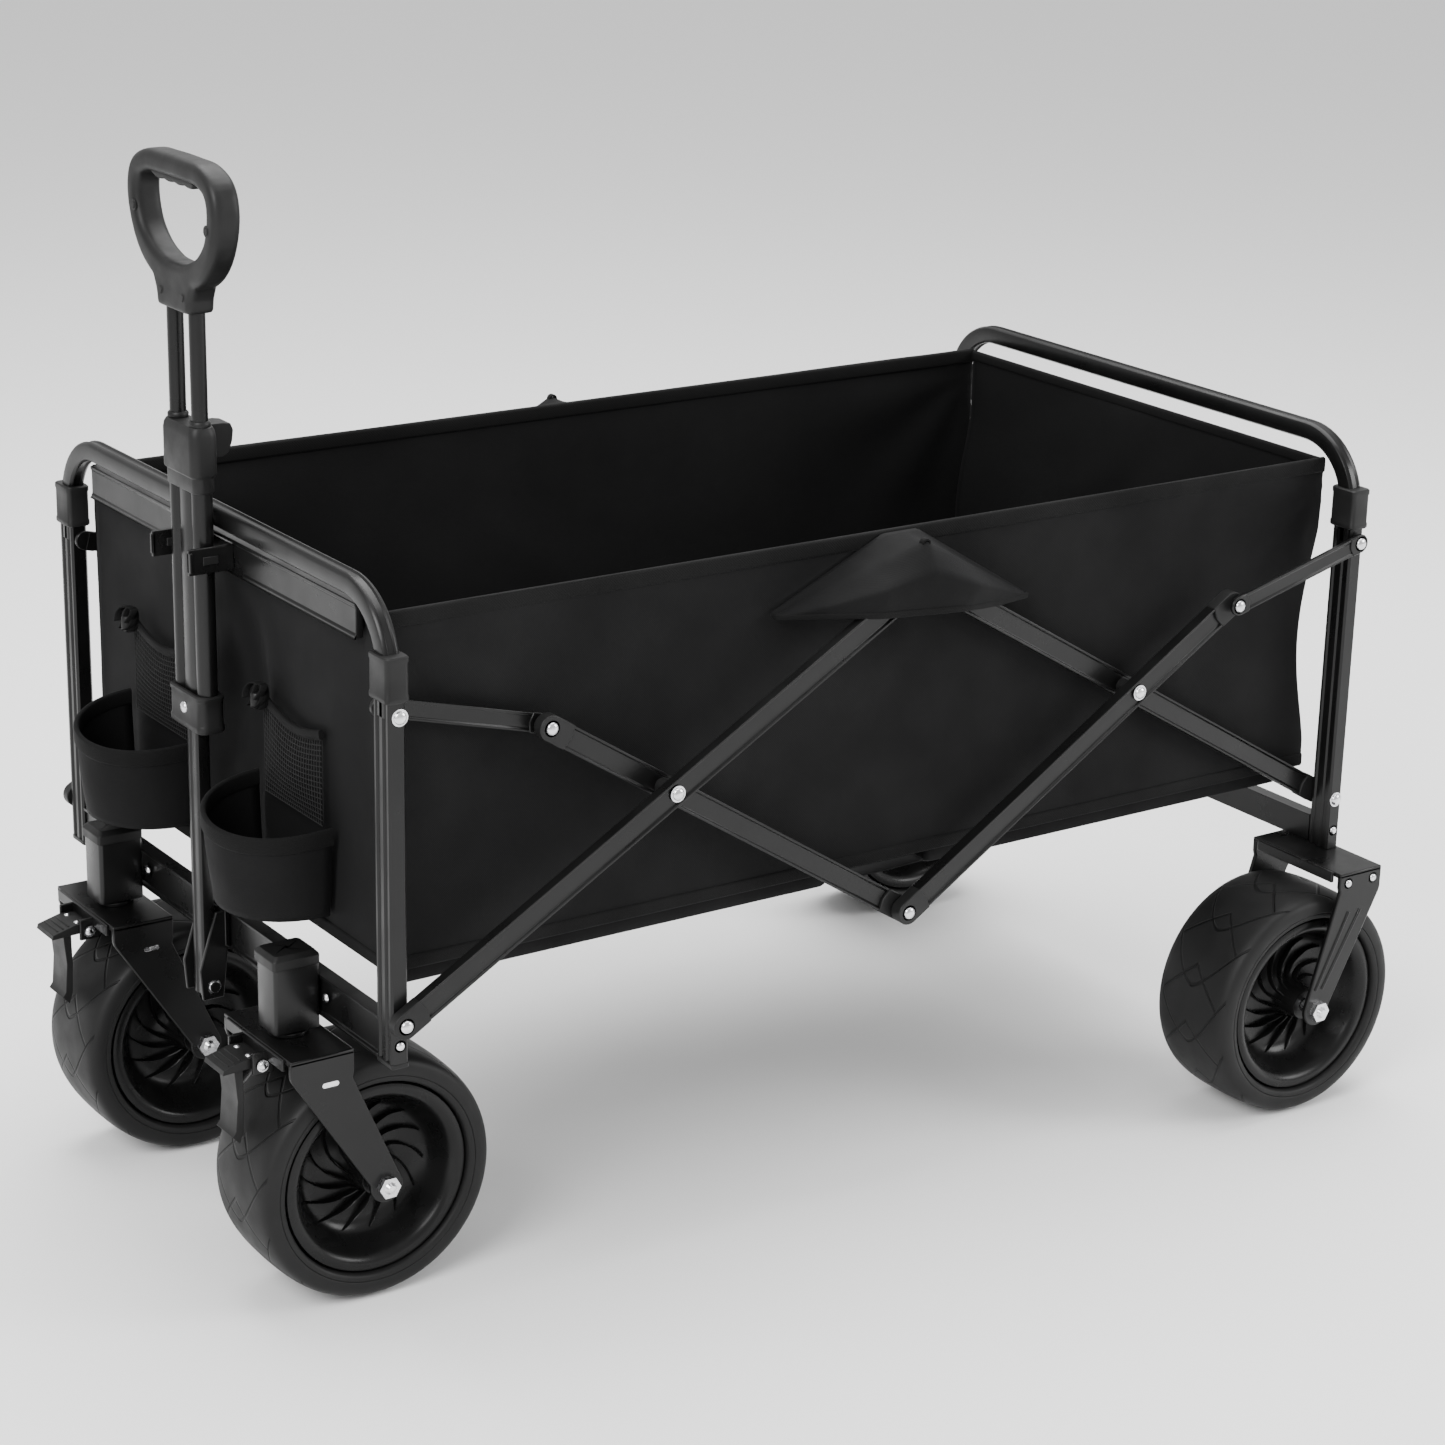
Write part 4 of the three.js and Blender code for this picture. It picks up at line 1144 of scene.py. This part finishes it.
rods = [rod(6, (HANDLE_X, s * BARREL, 490), (HANDLE_X, s * BARREL, 717), 28) for s in (-1, 1)]
piece("handle_twin_rods", joined(*rods), "handle_top", "steel", ["handle_rods"], 30)
ferrules = [turned([(6.2, 0), (7.2, 0), (7.6, 1.0), (7.6, 3.2), (6.8, 4.4), (6.2, 4.6)],
                   (HANDLE_X, s * BARREL, 626.6), "z", 28, closed=True) for s in (-1, 1)]
piece("handle_rod_ferrules", joined(*ferrules), "handle_middle", "plastic", sharp=34)


def grip_path():
    """The middle line of the loop, from the neck round to the neck again."""
    spots = [(0, 731), (20, 733), (42, 743), (57, 760), (63, 782), (57.5, 799), (40, 806.6),
             (18, 807.6), (0, 807.8)]
    half = smooth_profile(spots, 5)
    return [(HANDLE_X, y, z) for y, z in half] + [(HANDLE_X, -y, z) for y, z in reversed(half[1:-1])]


def melted(name, shape, voxel, rounds):
    """One moulded skin over overlapping shapes: remeshed, then smoothed."""
    thing = bpy.data.objects.new(name, mesh_of(name, shape))
    bpy.context.scene.collection.objects.link(thing)
    remesh = thing.modifiers.new("skin", "REMESH")
    remesh.mode = "VOXEL"
    remesh.voxel_size = voxel * MM
    smooth = thing.modifiers.new("flow", "SMOOTH")
    smooth.factor = 0.5
    smooth.iterations = rounds
    evaluated = thing.evaluated_get(bpy.context.evaluated_depsgraph_get())
    result = bpy.data.meshes.new_from_object(evaluated)
    bpy.data.objects.remove(thing)
    return result


path = grip_path()
loop_sections = []
for i, spot in enumerate(path):
    before, after = Vector(path[i - 1]), Vector(path[(i + 1) % len(path)])
    outward = (after - before).normalized().cross(Vector((1, 0, 0)))
    thick = 7.9 + 2.4 * max(0.0, (760 - spot[2]) / 29)
    loop_sections.append([tuple(Vector(spot) + Vector((1, 0, 0)) * a + outward * b)
                          for a, b in rounded(10.9, thick, 5.6, 4)])
neck = rings([[(HANDLE_X + a, b, z) for a, b in rounded(hx, hy, 5, 4)] for hx, hy, z in (
    (10.6, 25.2, 708), (10.9, 26, 711), (10.9, 27, 718), (10.8, 31, 726), (10.4, 37, 734))])
grip_mesh = melted("handle_loop", joined(rings(loop_sections, closed=True), neck), 1.5, 5)
finished("handle_loop", grip_mesh, "handle_top", "plastic", ["handle_grip"], 50)

waves = []
for i in range(49):
    y = -32 + 64 * i / 48
    swell = 1.6 * abs(math.sin(math.pi * (y + 32) / 16)) ** 0.7
    edge = min(1.0, (32 - abs(y)) / 5 + 0.25)
    waves.append([(HANDLE_X + a, y, 799.4 + b * (1 if b > 0 else (2.4 + swell) / 3.4) * edge)
                  for a, b in rounded(7.8, 3.4, 3.0, 4)])
piece("handle_finger_pad", rings(waves), "handle_top", "grip", ["grip_pad"], 60)
recesses = [turned([(0.01, -1.0), (2.6, -1.0), (3.0, -0.2), (4.2, -0.2), (4.4, 0.6)],
                   (HANDLE_X - 10.7, y, z), "x", 20)
            for y, z in ((-17, 719), (17, 719), (58, 772), (-58, 772))]
piece("handle_loop_screws", joined(*recesses), "handle_top", "plastic", sharp=50)

# ---- Floor, light and camera --------------------------------------------------------------------
def studio_floor():
    mesh = bpy.data.meshes.new("studio_floor")
    span = 40.0
    mesh.from_pydata([(-span, -span, 0), (span, -span, 0), (span, span, 0), (-span, span, 0)], [],
                     [(0, 1, 2, 3)])
    made, _, _ = start_material("studio_white", (0.93, 0.93, 0.93), 0.9)
    mesh.materials.append(made)
    ground = bpy.data.objects.new("studio_floor", mesh)
    bpy.context.scene.collection.objects.link(ground)


def soft_light(name, place, target, size, power):
    data = bpy.data.lights.new(name, "AREA")
    data.shape = "DISK"
    data.size = size
    data.energy = power
    lamp = bpy.data.objects.new(name, data)
    lamp.location = place
    lamp.rotation_euler = (Vector(target) - Vector(place)).to_track_quat("-Z", "Y").to_euler()
    bpy.context.scene.collection.objects.link(lamp)


studio_floor()
world = bpy.data.worlds.new("studio")
world.use_nodes = True
world.node_tree.nodes["Background"].inputs["Color"].default_value = (1.0, 1.0, 1.0, 1)
world.node_tree.nodes["Background"].inputs["Strength"].default_value = 0.95
bpy.context.scene.world = world
soft_light("key", (-2.6, -1.4, 2.4), (0, 0, 0.35), 1.8, 110)
soft_light("top", (0.4, 0.6, 3.0), (0, 0, 0.3), 3.2, 150)
soft_light("edge", (2.6, -2.2, 1.6), (0, 0, 0.35), 1.6, 70)


def place_camera():
    """The camera stands to the front right and leans a little about its own line of sight."""
    place, target = at(-1480.8, -2166.6, 1208.5), at(7.5, 0, 323)
    roll = math.radians(1.26)
    ahead = (target - place).normalized()
    right = ahead.cross(Vector((0, 0, 1))).normalized()
    up = right.cross(ahead)
    tilted = right * math.cos(roll) + up * math.sin(roll)
    upright = up * math.cos(roll) - right * math.sin(roll)
    data = bpy.data.cameras.new("camera")
    data.sensor_width = 36
    data.lens = 85.7
    camera = bpy.data.objects.new("camera", data)
    bpy.context.scene.collection.objects.link(camera)
    axes = Matrix((tilted, upright, -ahead)).transposed().to_4x4()
    camera.matrix_world = Matrix.Translation(place) @ axes
    bpy.context.scene.camera = camera


place_camera()
